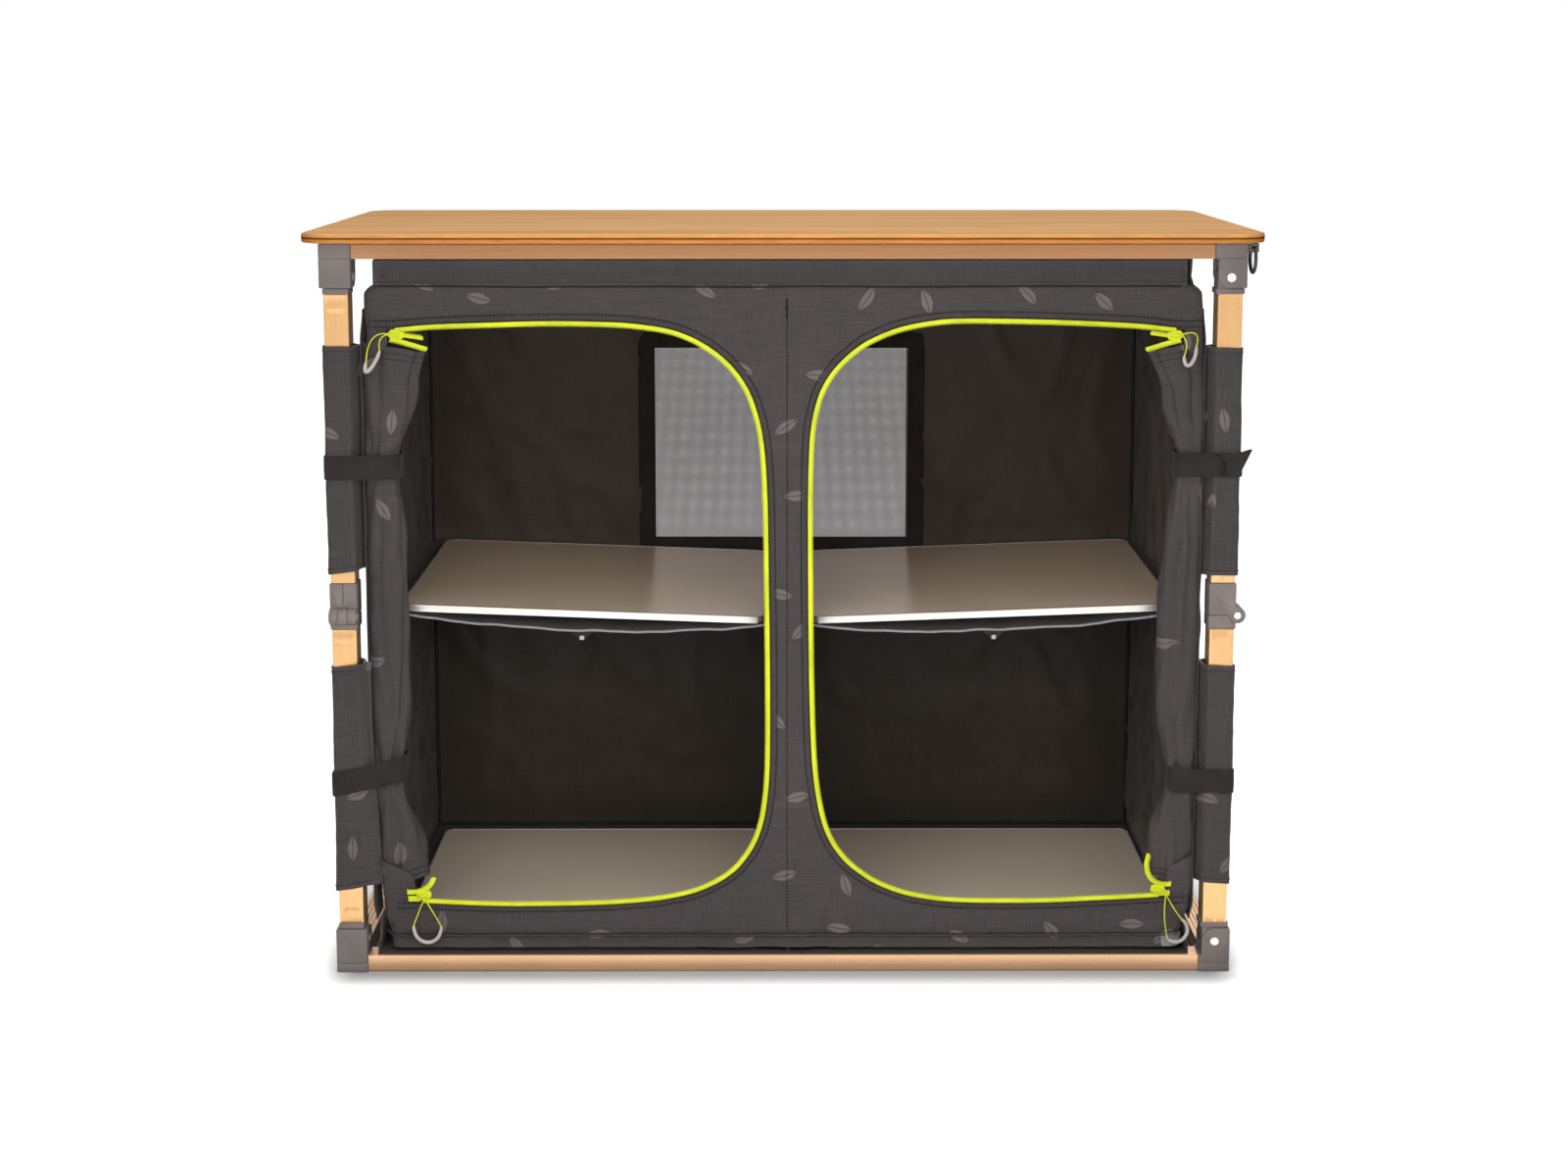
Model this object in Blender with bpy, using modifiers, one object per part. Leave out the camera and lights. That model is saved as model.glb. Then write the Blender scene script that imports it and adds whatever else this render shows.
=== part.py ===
"""A folding camp kitchen cupboard: a ply top on a frame whose four legs break at a knee and fold flat,
with a cloth cabinet, two hanging shelves and two zipped doors tied open. Metres, +Z up, front at -Y."""

import math

import bmesh
import bpy
from mathutils import Matrix, Vector

# Top board
top_width = 1.000
top_depth = 0.475
height = 0.790
top_thickness = 0.010
top_corner = 0.035
top_corner_points = 7

# Frame: rails of flat tube between moulded corner brackets
bracket_overhang = 0.0223
bracket_setback = 0.003
bracket_side = 0.0330
cheek_thickness = 0.0030
foot_bracket_height = 0.0475
head_bracket_height = 0.0460
rail_inset = 0.0030
rail_wall = 0.0015
foot_rail_height = 0.0176
foot_rail_depth = 0.0250
foot_rail_lift = 0.0006
head_rail_height = 0.0158
head_rail_depth = 0.0240
tenon_length = 0.0180

# Legs: square tube, plugs at both ends, a pin at the foot, the knee and the head
tube_side = 0.0264
tube_wall = 0.0015
foot_pivot_height = 0.0336
head_pivot_drop = 0.0350
knee_offset = 0.0158
collar_height = 0.0058
collar_half = 0.0147
collar_proud = 0.0001
collar_lip = 0.0006
pin_radius = 0.0030
rivet_radius = 0.0045
rivet_height = 0.0012
knuckle_radius = 0.0088
knee_socket_up = 0.0345
knee_socket_down = 0.0145
knee_side = 0.0286
middle_knuckle = 0.0100

# Clearances
seat_gap = 0.0003
running_gap = 0.0003
pin_gap = 0.0003

# Cloth cabinet
cloth = 0.0015
cabinet_side_gap = 0.0437
cabinet_front = 0.0073
cabinet_back = 0.0220
seam_shift = 0.005
roll_room_depth = 0.0400
roll_room_spare = 0.0192
window_width = 0.330
window_height = 0.265
window_drop = 0.1256
window_columns = 14
window_rows = 10
net_strand = 0.0030

# Front panel and zips
panel_front = 0.0055
panel_beyond_cabinet = 0.002
panel_lift = 0.0071
valance_inset = 0.022
valance_height = 0.026
panel_corner = 0.020
door_inset = 0.032
door_top_drop = 0.0666
door_top_fall = 0.008
door_low_lift = 0.0611
door_low_rise = 0.004
mullion_half = 0.0225
door_top_radius = 0.132
door_low_radius = 0.105
zip_front = 0.0046
zip_radius = 0.0026
arc_points = 9

# Sliders and pulls
slider_width = 0.0100
slider_length = 0.0140
slider_depth = 0.0030
lug_height = 0.0030
pull_wire = 0.0011
pull_loop_width = 0.0070
pull_loop_length = 0.0230
grip_width = 0.0150
grip_length = 0.0190
grip_depth = 0.0036
low_slider_inset = 0.019

# Shelves
board_thickness = 0.0070
board_corner = 0.012
shelf_from_wall = 0.022
shelf_from_seam = 0.026
shelf_front = 0.038
shelf_back = 0.075
shelf_below_knee = 0.0053
shelf_tilt_deg = 2.1
base_from_wall = 0.0125
base_from_seam = 0.0335
base_front = 0.0360
base_back = 0.067
sling_gap = 0.00036
sling_sag = 0.016
sling_points = 9

# Sleeves round the legs
sleeve_gap = 0.0004
sleeve_cloth = 0.0010
sleeve_seam = 0.0103
upper_sleeve_lift = 0.0440
lower_sleeve_drop = 0.0541
sleeve_length = 0.2412

# Rolled doors
roll_front = 0.0074
roll_from_floor = 0.0645
roll_from_top = 0.0784
roll_points = 20
roll_folds = 3
roll_fold_depth = 0.09
roll_fold_turn = 5.4

# Hanging ring
ring_wire = 0.0020
ring_width = 0.0300
ring_drop = 0.0260
ring_bend_points = 8
ring_from_front = 0.0215
ear_width = 0.0140
ear_length = 0.0136
ear_height = 0.0098
ear_hole = 0.0030

bracket_span = top_width - 2 * bracket_overhang
half_depth = top_depth / 2
underside = height - top_thickness
leg_x = bracket_span / 2 - bracket_side / 2
leg_y = half_depth - bracket_setback - bracket_side / 2
head_pivot_height = underside - head_pivot_drop
link = (head_pivot_height - foot_pivot_height) / 2
knee_height = foot_pivot_height + link
foot_rail_top = foot_rail_lift + foot_rail_height
head_rail_low = underside - seat_gap - head_rail_height
tongue_half = tube_side / 2 - collar_proud
cloth_floor = foot_rail_top + seat_gap
cloth_top = head_rail_low - seat_gap
cabinet_half_width = bracket_span / 2 - cabinet_side_gap
panel_half_width = cabinet_half_width + panel_beyond_cabinet
panel_low = cloth_floor + panel_lift
valance_half_width = panel_half_width - valance_inset
door_reach = panel_half_width - door_inset
low_slider_reach = door_reach - low_slider_inset
door_top = cloth_top - door_top_drop
door_low = cloth_floor + door_low_lift
roll_low = cloth_floor + roll_from_floor
roll_high = cloth_top - roll_from_top
shelf_width = cabinet_half_width - shelf_from_wall - shelf_from_seam
shelf_depth = top_depth - shelf_front - shelf_back
shelf_centre_height = knee_height - shelf_below_knee
shelf_centre_reach = shelf_from_seam + shelf_width / 2
base_width = cabinet_half_width - base_from_wall - base_from_seam
base_depth = top_depth - base_front - base_back
base_centre_reach = base_from_seam + base_width / 2

parts = bpy.data.collections.new("folding_cupboard")
cutters = bpy.data.collections.new("cutters")
materials = {}


def clear_scene():
    for obj in list(bpy.data.objects):
        bpy.data.objects.remove(obj, do_unlink=True)
    for collection in (parts, cutters):
        bpy.context.scene.collection.children.link(collection)
    cutters.hide_render = True


def finish(name, colour, roughness, metallic=0.0):
    material = bpy.data.materials.new(name)
    material.use_nodes = True
    shader = material.node_tree.nodes["Principled BSDF"]
    shader.inputs["Base Color"].default_value = (*colour, 1.0)
    shader.inputs["Roughness"].default_value = roughness
    shader.inputs["Metallic"].default_value = metallic
    materials[name] = material


def add_finishes():
    finish("bamboo", (0.60, 0.32, 0.14), 0.45)
    finish("bronze_tube", (0.70, 0.48, 0.30), 0.32, 1.0)
    finish("grey_moulding", (0.20, 0.18, 0.165), 0.55)
    finish("grey_cloth", (0.060, 0.052, 0.048), 0.9)
    finish("lime_zip", (0.65, 0.80, 0.02), 0.6)
    finish("shelf_skin", (0.22, 0.20, 0.17), 0.35, 0.6)
    finish("dark_metal", (0.05, 0.05, 0.05), 0.4, 0.9)


def add_object(name, mesh, material, collection=None):
    obj = bpy.data.objects.new(name, mesh)
    (collection or parts).objects.link(obj)
    if material:
        mesh.materials.clear()
        mesh.materials.append(materials[material])
    return obj


def as_cutter(obj):
    parts.objects.unlink(obj)
    cutters.objects.link(obj)
    obj.hide_render = True
    obj.display_type = "WIRE"
    return obj


def box(name, low, high, material=None):
    """An upright box between two corners."""
    low = Vector(low)
    high = Vector(high)
    shape = bmesh.new()
    bmesh.ops.create_cube(shape, size=1.0)
    size = Matrix.Diagonal((*(high - low), 1.0))
    bmesh.ops.transform(shape, matrix=Matrix.Translation((low + high) / 2) @ size, verts=shape.verts)
    mesh = bpy.data.meshes.new(name)
    shape.to_mesh(mesh)
    shape.free()
    return add_object(name, mesh, material)


def rod(name, radius, start, length, axis, material=None, sides=24):
    """A round bar from start along an axis, X, Y or Z."""
    turn = {"X": Matrix.Rotation(math.radians(90), 4, "Y"),
            "Y": Matrix.Rotation(math.radians(-90), 4, "X"),
            "Z": Matrix.Identity(4)}[axis]
    shape = bmesh.new()
    bmesh.ops.create_cone(shape, cap_ends=True, segments=sides, radius1=radius, radius2=radius, depth=length)
    bmesh.ops.transform(shape, matrix=Matrix.Translation((0, 0, length / 2)), verts=shape.verts)
    bmesh.ops.transform(shape, matrix=Matrix.Translation(start) @ turn, verts=shape.verts)
    mesh = bpy.data.meshes.new(name)
    shape.to_mesh(mesh)
    shape.free()
    mesh.shade_smooth()
    mesh.set_sharp_from_angle(angle=math.radians(40))
    return add_object(name, mesh, material)


def mesh_from_curve(curve_object):
    """Turns a curve object into a mesh object of the same name, with its caps welded on."""
    name = curve_object.name
    place = curve_object.matrix_world.copy()
    bpy.context.view_layer.update()
    graph = bpy.context.evaluated_depsgraph_get()
    mesh = bpy.data.meshes.new_from_object(curve_object.evaluated_get(graph))
    bpy.data.objects.remove(curve_object, do_unlink=True)
    shape = bmesh.new()
    shape.from_mesh(mesh)
    bmesh.ops.remove_doubles(shape, verts=shape.verts, dist=0.00001)
    bmesh.ops.transform(shape, matrix=place, verts=shape.verts)
    bmesh.ops.recalc_face_normals(shape, faces=shape.faces)
    shape.to_mesh(mesh)
    shape.free()
    return add_object(name, mesh, None)


planes = {"X": Matrix(((0, 0, 1, 0), (1, 0, 0, 0), (0, 1, 0, 0), (0, 0, 0, 1))),
          "Y": Matrix(((1, 0, 0, 0), (0, 0, -1, 0), (0, 1, 0, 0), (0, 0, 0, 1))),
          "Z": Matrix.Identity(4)}


def plate(name, outline, low, high, axis, material=None):
    """A flat outline given thickness along an axis. For X the outline is (y, z), for Y (x, z), for Z (x, y)."""
    curve = bpy.data.curves.new(name, "CURVE")
    curve.dimensions = "2D"
    curve.fill_mode = "BOTH"
    curve.extrude = (high - low) / 2
    line = curve.splines.new("POLY")
    line.points.add(len(outline) - 1)
    for point, (across, up) in zip(line.points, outline):
        point.co = (across, up, 0, 1)
    line.use_cyclic_u = True
    obj = bpy.data.objects.new(name, curve)
    parts.objects.link(obj)
    shift = {"X": (1, 0, 0), "Y": (0, 1, 0), "Z": (0, 0, 1)}[axis]
    obj.matrix_world = Matrix.Translation(Vector(shift) * (low + high) / 2) @ planes[axis]
    obj = mesh_from_curve(obj)
    if material:
        obj.data.materials.clear()
        obj.data.materials.append(materials[material])
    return obj


def wire(name, points, radius, material, closed=False):
    """A round wire along points."""
    curve = bpy.data.curves.new(name, "CURVE")
    curve.dimensions = "3D"
    curve.bevel_depth = radius
    curve.bevel_resolution = 2
    curve.use_fill_caps = True
    line = curve.splines.new("POLY")
    line.points.add(len(points) - 1)
    for point, place in zip(line.points, points):
        point.co = (*place, 1)
    line.use_cyclic_u = closed
    obj = bpy.data.objects.new(name, curve)
    parts.objects.link(obj)
    obj = mesh_from_curve(obj)
    obj.data.materials.clear()
    obj.data.materials.append(materials[material])
    obj.data.shade_smooth()
    return obj


def boolean(target, other, operation):
    modifier = target.modifiers.new(operation.lower() + "_" + other.name, "BOOLEAN")
    modifier.operation = operation
    modifier.solver = "EXACT"
    modifier.object = as_cutter(other)
    return target


def cut(target, other):
    return boolean(target, other, "DIFFERENCE")


def join(target, other):
    return boolean(target, other, "UNION")


def settle(obj):
    """Applies an object's modifiers, so that copies can share the finished mesh."""
    bpy.context.view_layer.update()
    graph = bpy.context.evaluated_depsgraph_get()
    mesh = bpy.data.meshes.new_from_object(obj.evaluated_get(graph))
    obj.modifiers.clear()
    obj.data = mesh
    return mesh


def pivot(name, place, turn_deg=0.0):
    empty = bpy.data.objects.new(name, None)
    empty.empty_display_size = 0.02
    empty.location = place
    empty.rotation_euler = (0, 0, math.radians(turn_deg))
    parts.objects.link(empty)
    return empty


def hang_on(obj, empty):
    """Parents an object to an empty on its joint axis, and leaves it where it is."""
    bpy.context.view_layer.update()
    obj.parent = empty
    obj.matrix_parent_inverse = empty.matrix_world.inverted()
    return obj


def copy_on(name, mesh, empty, material):
    """A copy of a mesh that was drawn round its joint axis, placed on an empty there."""
    obj = bpy.data.objects.new(name, mesh)
    parts.objects.link(obj)
    obj.parent = empty
    if not mesh.materials:
        mesh.materials.append(None)
    mesh.materials[0] = materials[material]
    return obj


def arc(centre, radius, start_deg, end_deg, steps=arc_points):
    turn = math.radians(end_deg - start_deg) / steps
    start = math.radians(start_deg)
    return [(centre[0] + radius * math.cos(start + turn * i), centre[1] + radius * math.sin(start + turn * i))
            for i in range(steps + 1)]


def rounded(low, high, radius, steps):
    """A rectangle with round corners, anticlockwise."""
    corners = ((high[0] - radius, low[1] + radius, -90), (high[0] - radius, high[1] - radius, 0),
               (low[0] + radius, high[1] - radius, 90), (low[0] + radius, low[1] + radius, 180))
    return [point for x, y, start in corners for point in arc((x, y), radius, start, start + 90, steps)]


def loft(name, rings, material):
    """A closed skin through rings of points, for a shape whose sections are unlike each other."""
    shape = bmesh.new()
    rows = [[shape.verts.new(point) for point in ring] for ring in rings]
    count = len(rows[0])
    for lower, upper in zip(rows, rows[1:]):
        for i in range(count):
            j = (i + 1) % count
            shape.faces.new((lower[i], lower[j], upper[j], upper[i]))
    shape.faces.new(rows[0])
    shape.faces.new(rows[-1])
    bmesh.ops.recalc_face_normals(shape, faces=shape.faces)
    mesh = bpy.data.meshes.new(name)
    shape.to_mesh(mesh)
    shape.free()
    mesh.shade_smooth()
    return add_object(name, mesh, material)


def behind(distance):
    """The y of a plane this far behind the top's front edge."""
    return distance - half_depth


# The legs are drawn once, for the front left corner, whose pins lie along X and whose outer side is -Y.
# The other three are the same leg turned a quarter, a half and three quarters round.
corners = {"front_left": (-1, -1, 0), "front_right": (1, -1, 90),
           "back_right": (1, 1, 180), "back_left": (-1, 1, 270)}


def riveted_pin(name, half, y=0.0, z=0.0):
    pin = rod(name, pin_radius, (-half - rivet_height / 2, y, z), 2 * half + rivet_height, "X")
    for side in (-1, 1):
        start = side * half - (rivet_height if side < 0 else pin_gap)
        join(pin, rod(name + "_head", rivet_radius, (start, y, z), rivet_height + pin_gap, "X"))
    return pin


def square_tube(name, low, high, centre_y):
    half = tube_side / 2
    inner = half - tube_wall
    tube = box(name, (-half, centre_y - half, low), (half, centre_y + half, high), "bronze_tube")
    hole_low = (-inner, centre_y - inner, low - tube_side)
    hole_high = (inner, centre_y + inner, high + tube_side)
    return cut(tube, box(name + "_hole", hole_low, hole_high))


def plugged_leg(name, reach, tube_end, centre_y, pin_height, up):
    """A tube with a round tongue crimped into its pinned end. up is 1 where the pin is below the tube."""
    side = tongue_half
    tube_start = pin_height + up * reach
    leg = square_tube(name, min(tube_start, tube_end), max(tube_start, tube_end), centre_y)
    start = 180 if up > 0 else 0
    outline = arc((centre_y, pin_height), side, start, start + 180)
    tongue_end = tube_start - up * collar_height / 2
    outline += [(centre_y + up * side, tongue_end), (centre_y - up * side, tongue_end)]
    join(leg, plate(name + "_tongue", outline, -side, side, "X"))
    edges = sorted((tube_start + up * collar_lip, tube_start - up * collar_height))
    lip = tube_side / 2 + collar_proud
    join(leg, box(name + "_collar", (-lip, centre_y - collar_half, edges[0]), (lip, centre_y + collar_half, edges[1])))
    plug = tube_side / 2 - tube_wall + seat_gap
    edges = sorted((tongue_end, tube_start + up * tenon_length))
    join(leg, box(name + "_plug", (-plug, centre_y - plug, edges[0]), (plug, centre_y + plug, edges[1])))
    bore = rod(name + "_bore", pin_radius + pin_gap, (-tube_side, centre_y, pin_height), 2 * tube_side, "X")
    return cut(leg, bore)


def knee_block(name, pin_y, pin_z, centre_y, up):
    """The moulding on a tube end at the knee. The upper one has the two outer knuckles and the pin."""
    half = knee_side / 2
    reach = knee_socket_up if up > 0 else knee_socket_down
    near = pin_z + up * running_gap / 2
    far = pin_z + up * reach
    edges = sorted((near, far))
    block = box(name, (-half, centre_y - half, edges[0]), (half, centre_y + half, edges[1]), "grey_moulding")
    plug = tube_side / 2 - tube_wall - seat_gap
    edges = sorted((far - up * 0.002, far + up * tenon_length))
    join(block, box(name + "_plug", (-plug, centre_y - plug, edges[0]), (plug, centre_y + plug, edges[1])))
    outer = [(-half, -middle_knuckle / 2), (middle_knuckle / 2, half)]
    middle = [(-middle_knuckle / 2, middle_knuckle / 2)]
    own, others = (outer, middle) if up > 0 else (middle, outer)
    for i, (low, high) in enumerate(others):
        start = low - running_gap if up > 0 or i == 1 else low - half
        end = high + running_gap if up > 0 or i == 0 else high + half
        cut(block, rod(f"{name}_room_{i}", knuckle_radius + running_gap, (start, pin_y, pin_z), end - start, "X"))
    for i, (low, high) in enumerate(own):
        start = low - collar_proud if low == -half else low
        end = high + collar_proud if high == half else high
        join(block, rod(f"{name}_knuckle_{i}", knuckle_radius, (start, pin_y, pin_z), end - start, "X"))
    if up > 0:
        return join(block, riveted_pin(name + "_pin", half, pin_y, pin_z))
    return cut(block, rod(name + "_bore", pin_radius + pin_gap, (-half, pin_y, pin_z), 2 * half, "X"))


def corner_bracket(name, low, high, block_low, block_high, rail_low, rail_high, rail_depth):
    """A corner moulding drawn round its pin: cheeks, an outer wall, a block for the rails and their tenons."""
    half = bracket_side / 2
    inner = half - cheek_thickness
    block = box(name, (-half, -half, low), (half, half, high), "grey_moulding")
    foot = block_low == low
    free, root, sign = (high, block_high, 1) if foot else (low, block_low, -1)
    beyond = free + sign * half
    edges = sorted((root, beyond))
    cut(block, box(name + "_slot", (-inner, -inner, edges[0]), (inner, 2 * half, edges[1])))
    curve = arc((0, free - sign * inner), inner, 0, sign * 90)
    outline = [(inner, root)] + curve + [(0, beyond), (2 * half, beyond), (2 * half, root)]
    cut(block, plate(name + "_round", outline, -2 * half, 2 * half, "X"))
    join(block, riveted_pin(name + "_pin", half))
    spare = rail_wall + seat_gap
    start = rail_inset - half
    across = (start + spare, start + rail_depth - spare)
    up = (rail_low + spare, rail_high - spare)
    end = half + tenon_length
    join(block, box(name + "_tenon_x", (0, across[0], up[0]), (end, across[1], up[1])))
    join(block, box(name + "_tenon_y", (across[0], 0, up[0]), (across[1], end, up[1])))
    return block


def add_pivots():
    """One empty on every leg pin, each inside the one below it. The top frame hangs on the front left head pin."""
    pivots = {}
    for corner, (side, end, turn) in corners.items():
        place = Vector((side * leg_x, end * leg_y, 0))
        outward = Matrix.Rotation(math.radians(turn), 3, "Z") @ Vector((0, -knee_offset, 0))
        foot = pivot(corner + "_foot_pivot", place + Vector((0, 0, foot_pivot_height)), turn)
        knee = pivot(corner + "_knee_pivot", place + outward + Vector((0, 0, knee_height)), turn)
        head = pivot(corner + "_head_pivot", place + Vector((0, 0, head_pivot_height)), turn)
        pivots[corner] = (foot, knee, head)
    bpy.context.view_layer.update()
    top = pivots["front_left"][2]
    for corner, (foot, knee, head) in pivots.items():
        hang_on(knee, foot)
        hang_on(head, knee if head == top else top)
    return pivots, top


def add_legs(pivots):
    """Four two-part legs and their corner brackets, the same pieces turned to each corner."""
    bracket_reach = foot_bracket_height - foot_pivot_height
    foot_reach = bracket_reach + seat_gap + collar_height
    head_reach = head_bracket_height - head_pivot_drop + seat_gap + collar_height
    lower_end = link - knee_socket_down - seat_gap
    upper_start = knee_socket_up + seat_gap
    lower = plugged_leg("lower_leg", foot_reach, lower_end, 0.0, 0.0, 1)
    upper = plugged_leg("upper_leg", head_reach, upper_start, knee_offset, link, -1)
    knee_low = knee_block("knee_lower", -knee_offset, link, 0.0, -1)
    knee_up = knee_block("knee_upper", 0.0, 0.0, knee_offset, 1)
    floor = -foot_pivot_height
    rail_low = floor + foot_rail_lift
    foot = corner_bracket("foot_bracket", floor, floor + foot_bracket_height, floor, rail_low + foot_rail_height,
                          rail_low, rail_low + foot_rail_height, foot_rail_depth)
    roof = head_pivot_drop - seat_gap
    head = corner_bracket("head_bracket", head_pivot_drop - head_bracket_height, roof,
                          roof - head_rail_height, roof, roof - head_rail_height, roof, head_rail_depth)
    pieces = ((lower, "lower_leg", 0, "bronze_tube"), (upper, "upper_leg", 1, "bronze_tube"),
              (knee_low, "knee_lower", 0, "grey_moulding"), (knee_up, "knee_upper", 1, "grey_moulding"),
              (foot, "foot_bracket", 0, "grey_moulding"), (head, "head_bracket", 2, "grey_moulding"))
    copies = {}
    for drawn, label, level, material in pieces:
        mesh = settle(drawn)
        bpy.data.objects.remove(drawn, do_unlink=True)
        for corner in corners:
            name = f"{corner}_{label}"
            copies[name] = copy_on(name, mesh, pivots[corner][level], material)
    return copies


def rail(name, low, high, along, material="bronze_tube"):
    """A rectangular tube between two corners, open at both ends of its long axis."""
    inner_low = Vector(low)
    inner_high = Vector(high)
    for axis in range(3):
        spare = -2 * rail_wall if axis == along else rail_wall
        inner_low[axis] += spare
        inner_high[axis] -= spare
    return cut(box(name, low, high, material), box(name + "_hole", inner_low, inner_high))


def add_rails(top):
    reach_x = leg_x - bracket_side / 2 - seat_gap
    reach_y = leg_y - bracket_side / 2 - seat_gap
    outer_x = bracket_span / 2 - rail_inset
    outer_y = half_depth - bracket_setback - rail_inset
    levels = (("foot", foot_rail_lift, foot_rail_height, foot_rail_depth),
              ("head", head_rail_low, head_rail_height, head_rail_depth))
    for label, low, tall, deep in levels:
        for word, side in (("front", -1), ("back", 1)):
            edges = sorted((side * outer_y, side * (outer_y - deep)))
            made = rail(f"{word}_{label}_rail", (-reach_x, edges[0], low), (reach_x, edges[1], low + tall), 0)
            if label == "head":
                hang_on(made, top)
        for word, side in (("left", -1), ("right", 1)):
            edges = sorted((side * outer_x, side * (outer_x - deep)))
            made = rail(f"{word}_{label}_rail", (edges[0], -reach_y, low), (edges[1], reach_y, low + tall), 1)
            if label == "head":
                hang_on(made, top)


def add_top(top):
    outline = rounded((-top_width / 2, -half_depth), (top_width / 2, half_depth), top_corner, top_corner_points)
    board = plate("table_top", outline, underside, height, "Z", "bamboo")
    hang_on(board, top)


def add_ring(bracket):
    """A D ring that swings in an ear on the outer side of the front right head bracket."""
    outer = bracket_span / 2
    centre = Vector((outer + ear_length - ring_wire - ear_hole, behind(ring_from_front), 0))
    centre.z = underside - seat_gap - ear_height / 2
    ear_low = (outer - cheek_thickness / 2, centre.y - ear_width / 2, underside - seat_gap - ear_height)
    ear_high = (outer + ear_length, centre.y + ear_width / 2, underside - seat_gap)
    join(bracket, box("ring_ear", ear_low, ear_high))
    start = (centre.x, centre.y - ear_width, centre.z)
    cut(bracket, rod("ring_ear_hole", ear_hole, start, 2 * ear_width, "Y"))
    half = ring_width / 2
    shoulder = ring_drop - half
    bend = arc((0, -shoulder), half, 0, -180, ring_bend_points)
    points = [(0, half, 0)] + [(0, y, z) for y, z in bend] + [(0, -half, 0)]
    ring = wire("hanging_ring", points, ring_wire, "dark_metal", closed=True)
    axle = pivot("ring_axle", centre)
    ring.parent = axle
    return axle


def door_path(grow=0.0):
    """The zip's line as (distance from the seam, height), from the top end round the inner side to the low end."""
    inner = mullion_half - grow
    top_radius = door_top_radius + grow
    low_radius = door_low_radius + grow
    top_turn = (inner + top_radius, door_top + grow - top_radius)
    low_turn = (inner + low_radius, door_low - grow + low_radius)
    path = [(door_reach, door_top - door_top_fall + grow)]
    path += arc(top_turn, top_radius, 90, 180)
    path += arc(low_turn, low_radius, 180, 270)
    path.append((low_slider_reach, door_low - grow + door_low_rise))
    return path


def add_front_panel():
    """The cloth front with its two door openings, and the valance that hangs it from the top rail."""
    outline = rounded((-panel_half_width, panel_low), (panel_half_width, cloth_top - valance_height),
                      panel_corner, arc_points)
    top_right = 2 * (arc_points + 1)
    valance = [(valance_half_width, cloth_top - valance_height), (valance_half_width, cloth_top),
               (-valance_half_width, cloth_top), (-valance_half_width, cloth_top - valance_height)]
    outline = outline[:top_right] + valance + outline[top_right:]
    panel = plate("front_panel", outline, behind(panel_front), behind(panel_front + cloth), "Y", "grey_cloth")
    beyond = panel_half_width + panel_corner
    edge = door_path(zip_radius + seat_gap)
    edge = [(beyond, edge[0][1])] + edge + [(beyond, edge[-1][1])]
    for side in (-1, 1):
        hole = [(seam_shift + side * reach, tall) for reach, tall in edge]
        cut(panel, plate(f"door_opening_{side}", hole, behind(panel_front - cloth),
                         behind(panel_front + 2 * cloth), "Y"))


def add_zips():
    """A chain round each door opening, and a slider with its pull at both ends of each chain."""
    chain_y = behind(zip_front + zip_radius)
    slider_back = behind(zip_front - seat_gap)
    slider_mesh = settle_slider()
    pull_mesh = settle_pull()
    for word, side, top_tilt, low_tilt in (("left", -1, 34, -6), ("right", 1, -33, -14)):
        path = [(seam_shift + side * reach, chain_y, tall) for reach, tall in door_path()]
        wire(word + "_zip", path, zip_radius, "lime_zip")
        ends = (("upper", path[0], top_tilt), ("lower", path[-1], low_tilt))
        for level, end, tilt in ends:
            place = Vector((end[0] - side * slider_width / 2, slider_back - slider_depth / 2, end[2]))
            holder = pivot(f"{word}_{level}_slider_place", place)
            holder.rotation_euler = (0, math.radians(tilt), 0)
            copy_on(f"{word}_{level}_slider", slider_mesh, holder, "lime_zip")
            pin = pivot(f"{word}_{level}_pull_pin", (0, -slider_depth / 2 - lug_height / 2, 0))
            pin.parent = holder
            copy_on(f"{word}_{level}_pull", pull_mesh, pin, "grey_moulding")


def settle_slider():
    """A zip slider drawn round its middle, with a drilled lug on its front for the pull."""
    half = (slider_width / 2, slider_depth / 2, slider_length / 2)
    body = box("slider", (-half[0], -half[1], -half[2]), half)
    soften = body.modifiers.new("soften", "BEVEL")
    soften.width = slider_depth / 4
    soften.segments = 1
    lug = lug_height / 2
    front = -half[1] - lug_height
    join(body, box("slider_lug", (-lug, front, -lug), (lug, -half[1] + slider_depth / 2, lug)))
    hole = (-slider_width, -half[1] - lug, 0)
    cut(body, rod("slider_hole", pull_wire + pin_gap / 2, hole, 2 * slider_width, "X", sides=12))
    mesh = settle(body)
    bpy.data.objects.remove(body, do_unlink=True)
    return mesh


def settle_pull():
    """A cord loop from the slider's lug down to a moulded grip, drawn round the loop's top bar."""
    half = pull_loop_width / 2
    low = -pull_loop_length
    points = [(-half, 0, 0), (half, 0, 0), (half, 0, low), (-half, 0, low)]
    loop = wire("pull", points, pull_wire, "lime_zip", closed=True)
    outline = rounded((-grip_width / 2, low - grip_length), (grip_width / 2, low), grip_width / 4, 3)
    join(loop, plate("pull_grip", outline, -grip_depth / 2, grip_depth / 2, "Y"))
    mesh = settle(loop)
    bpy.data.objects.remove(loop, do_unlink=True)
    return mesh


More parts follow.
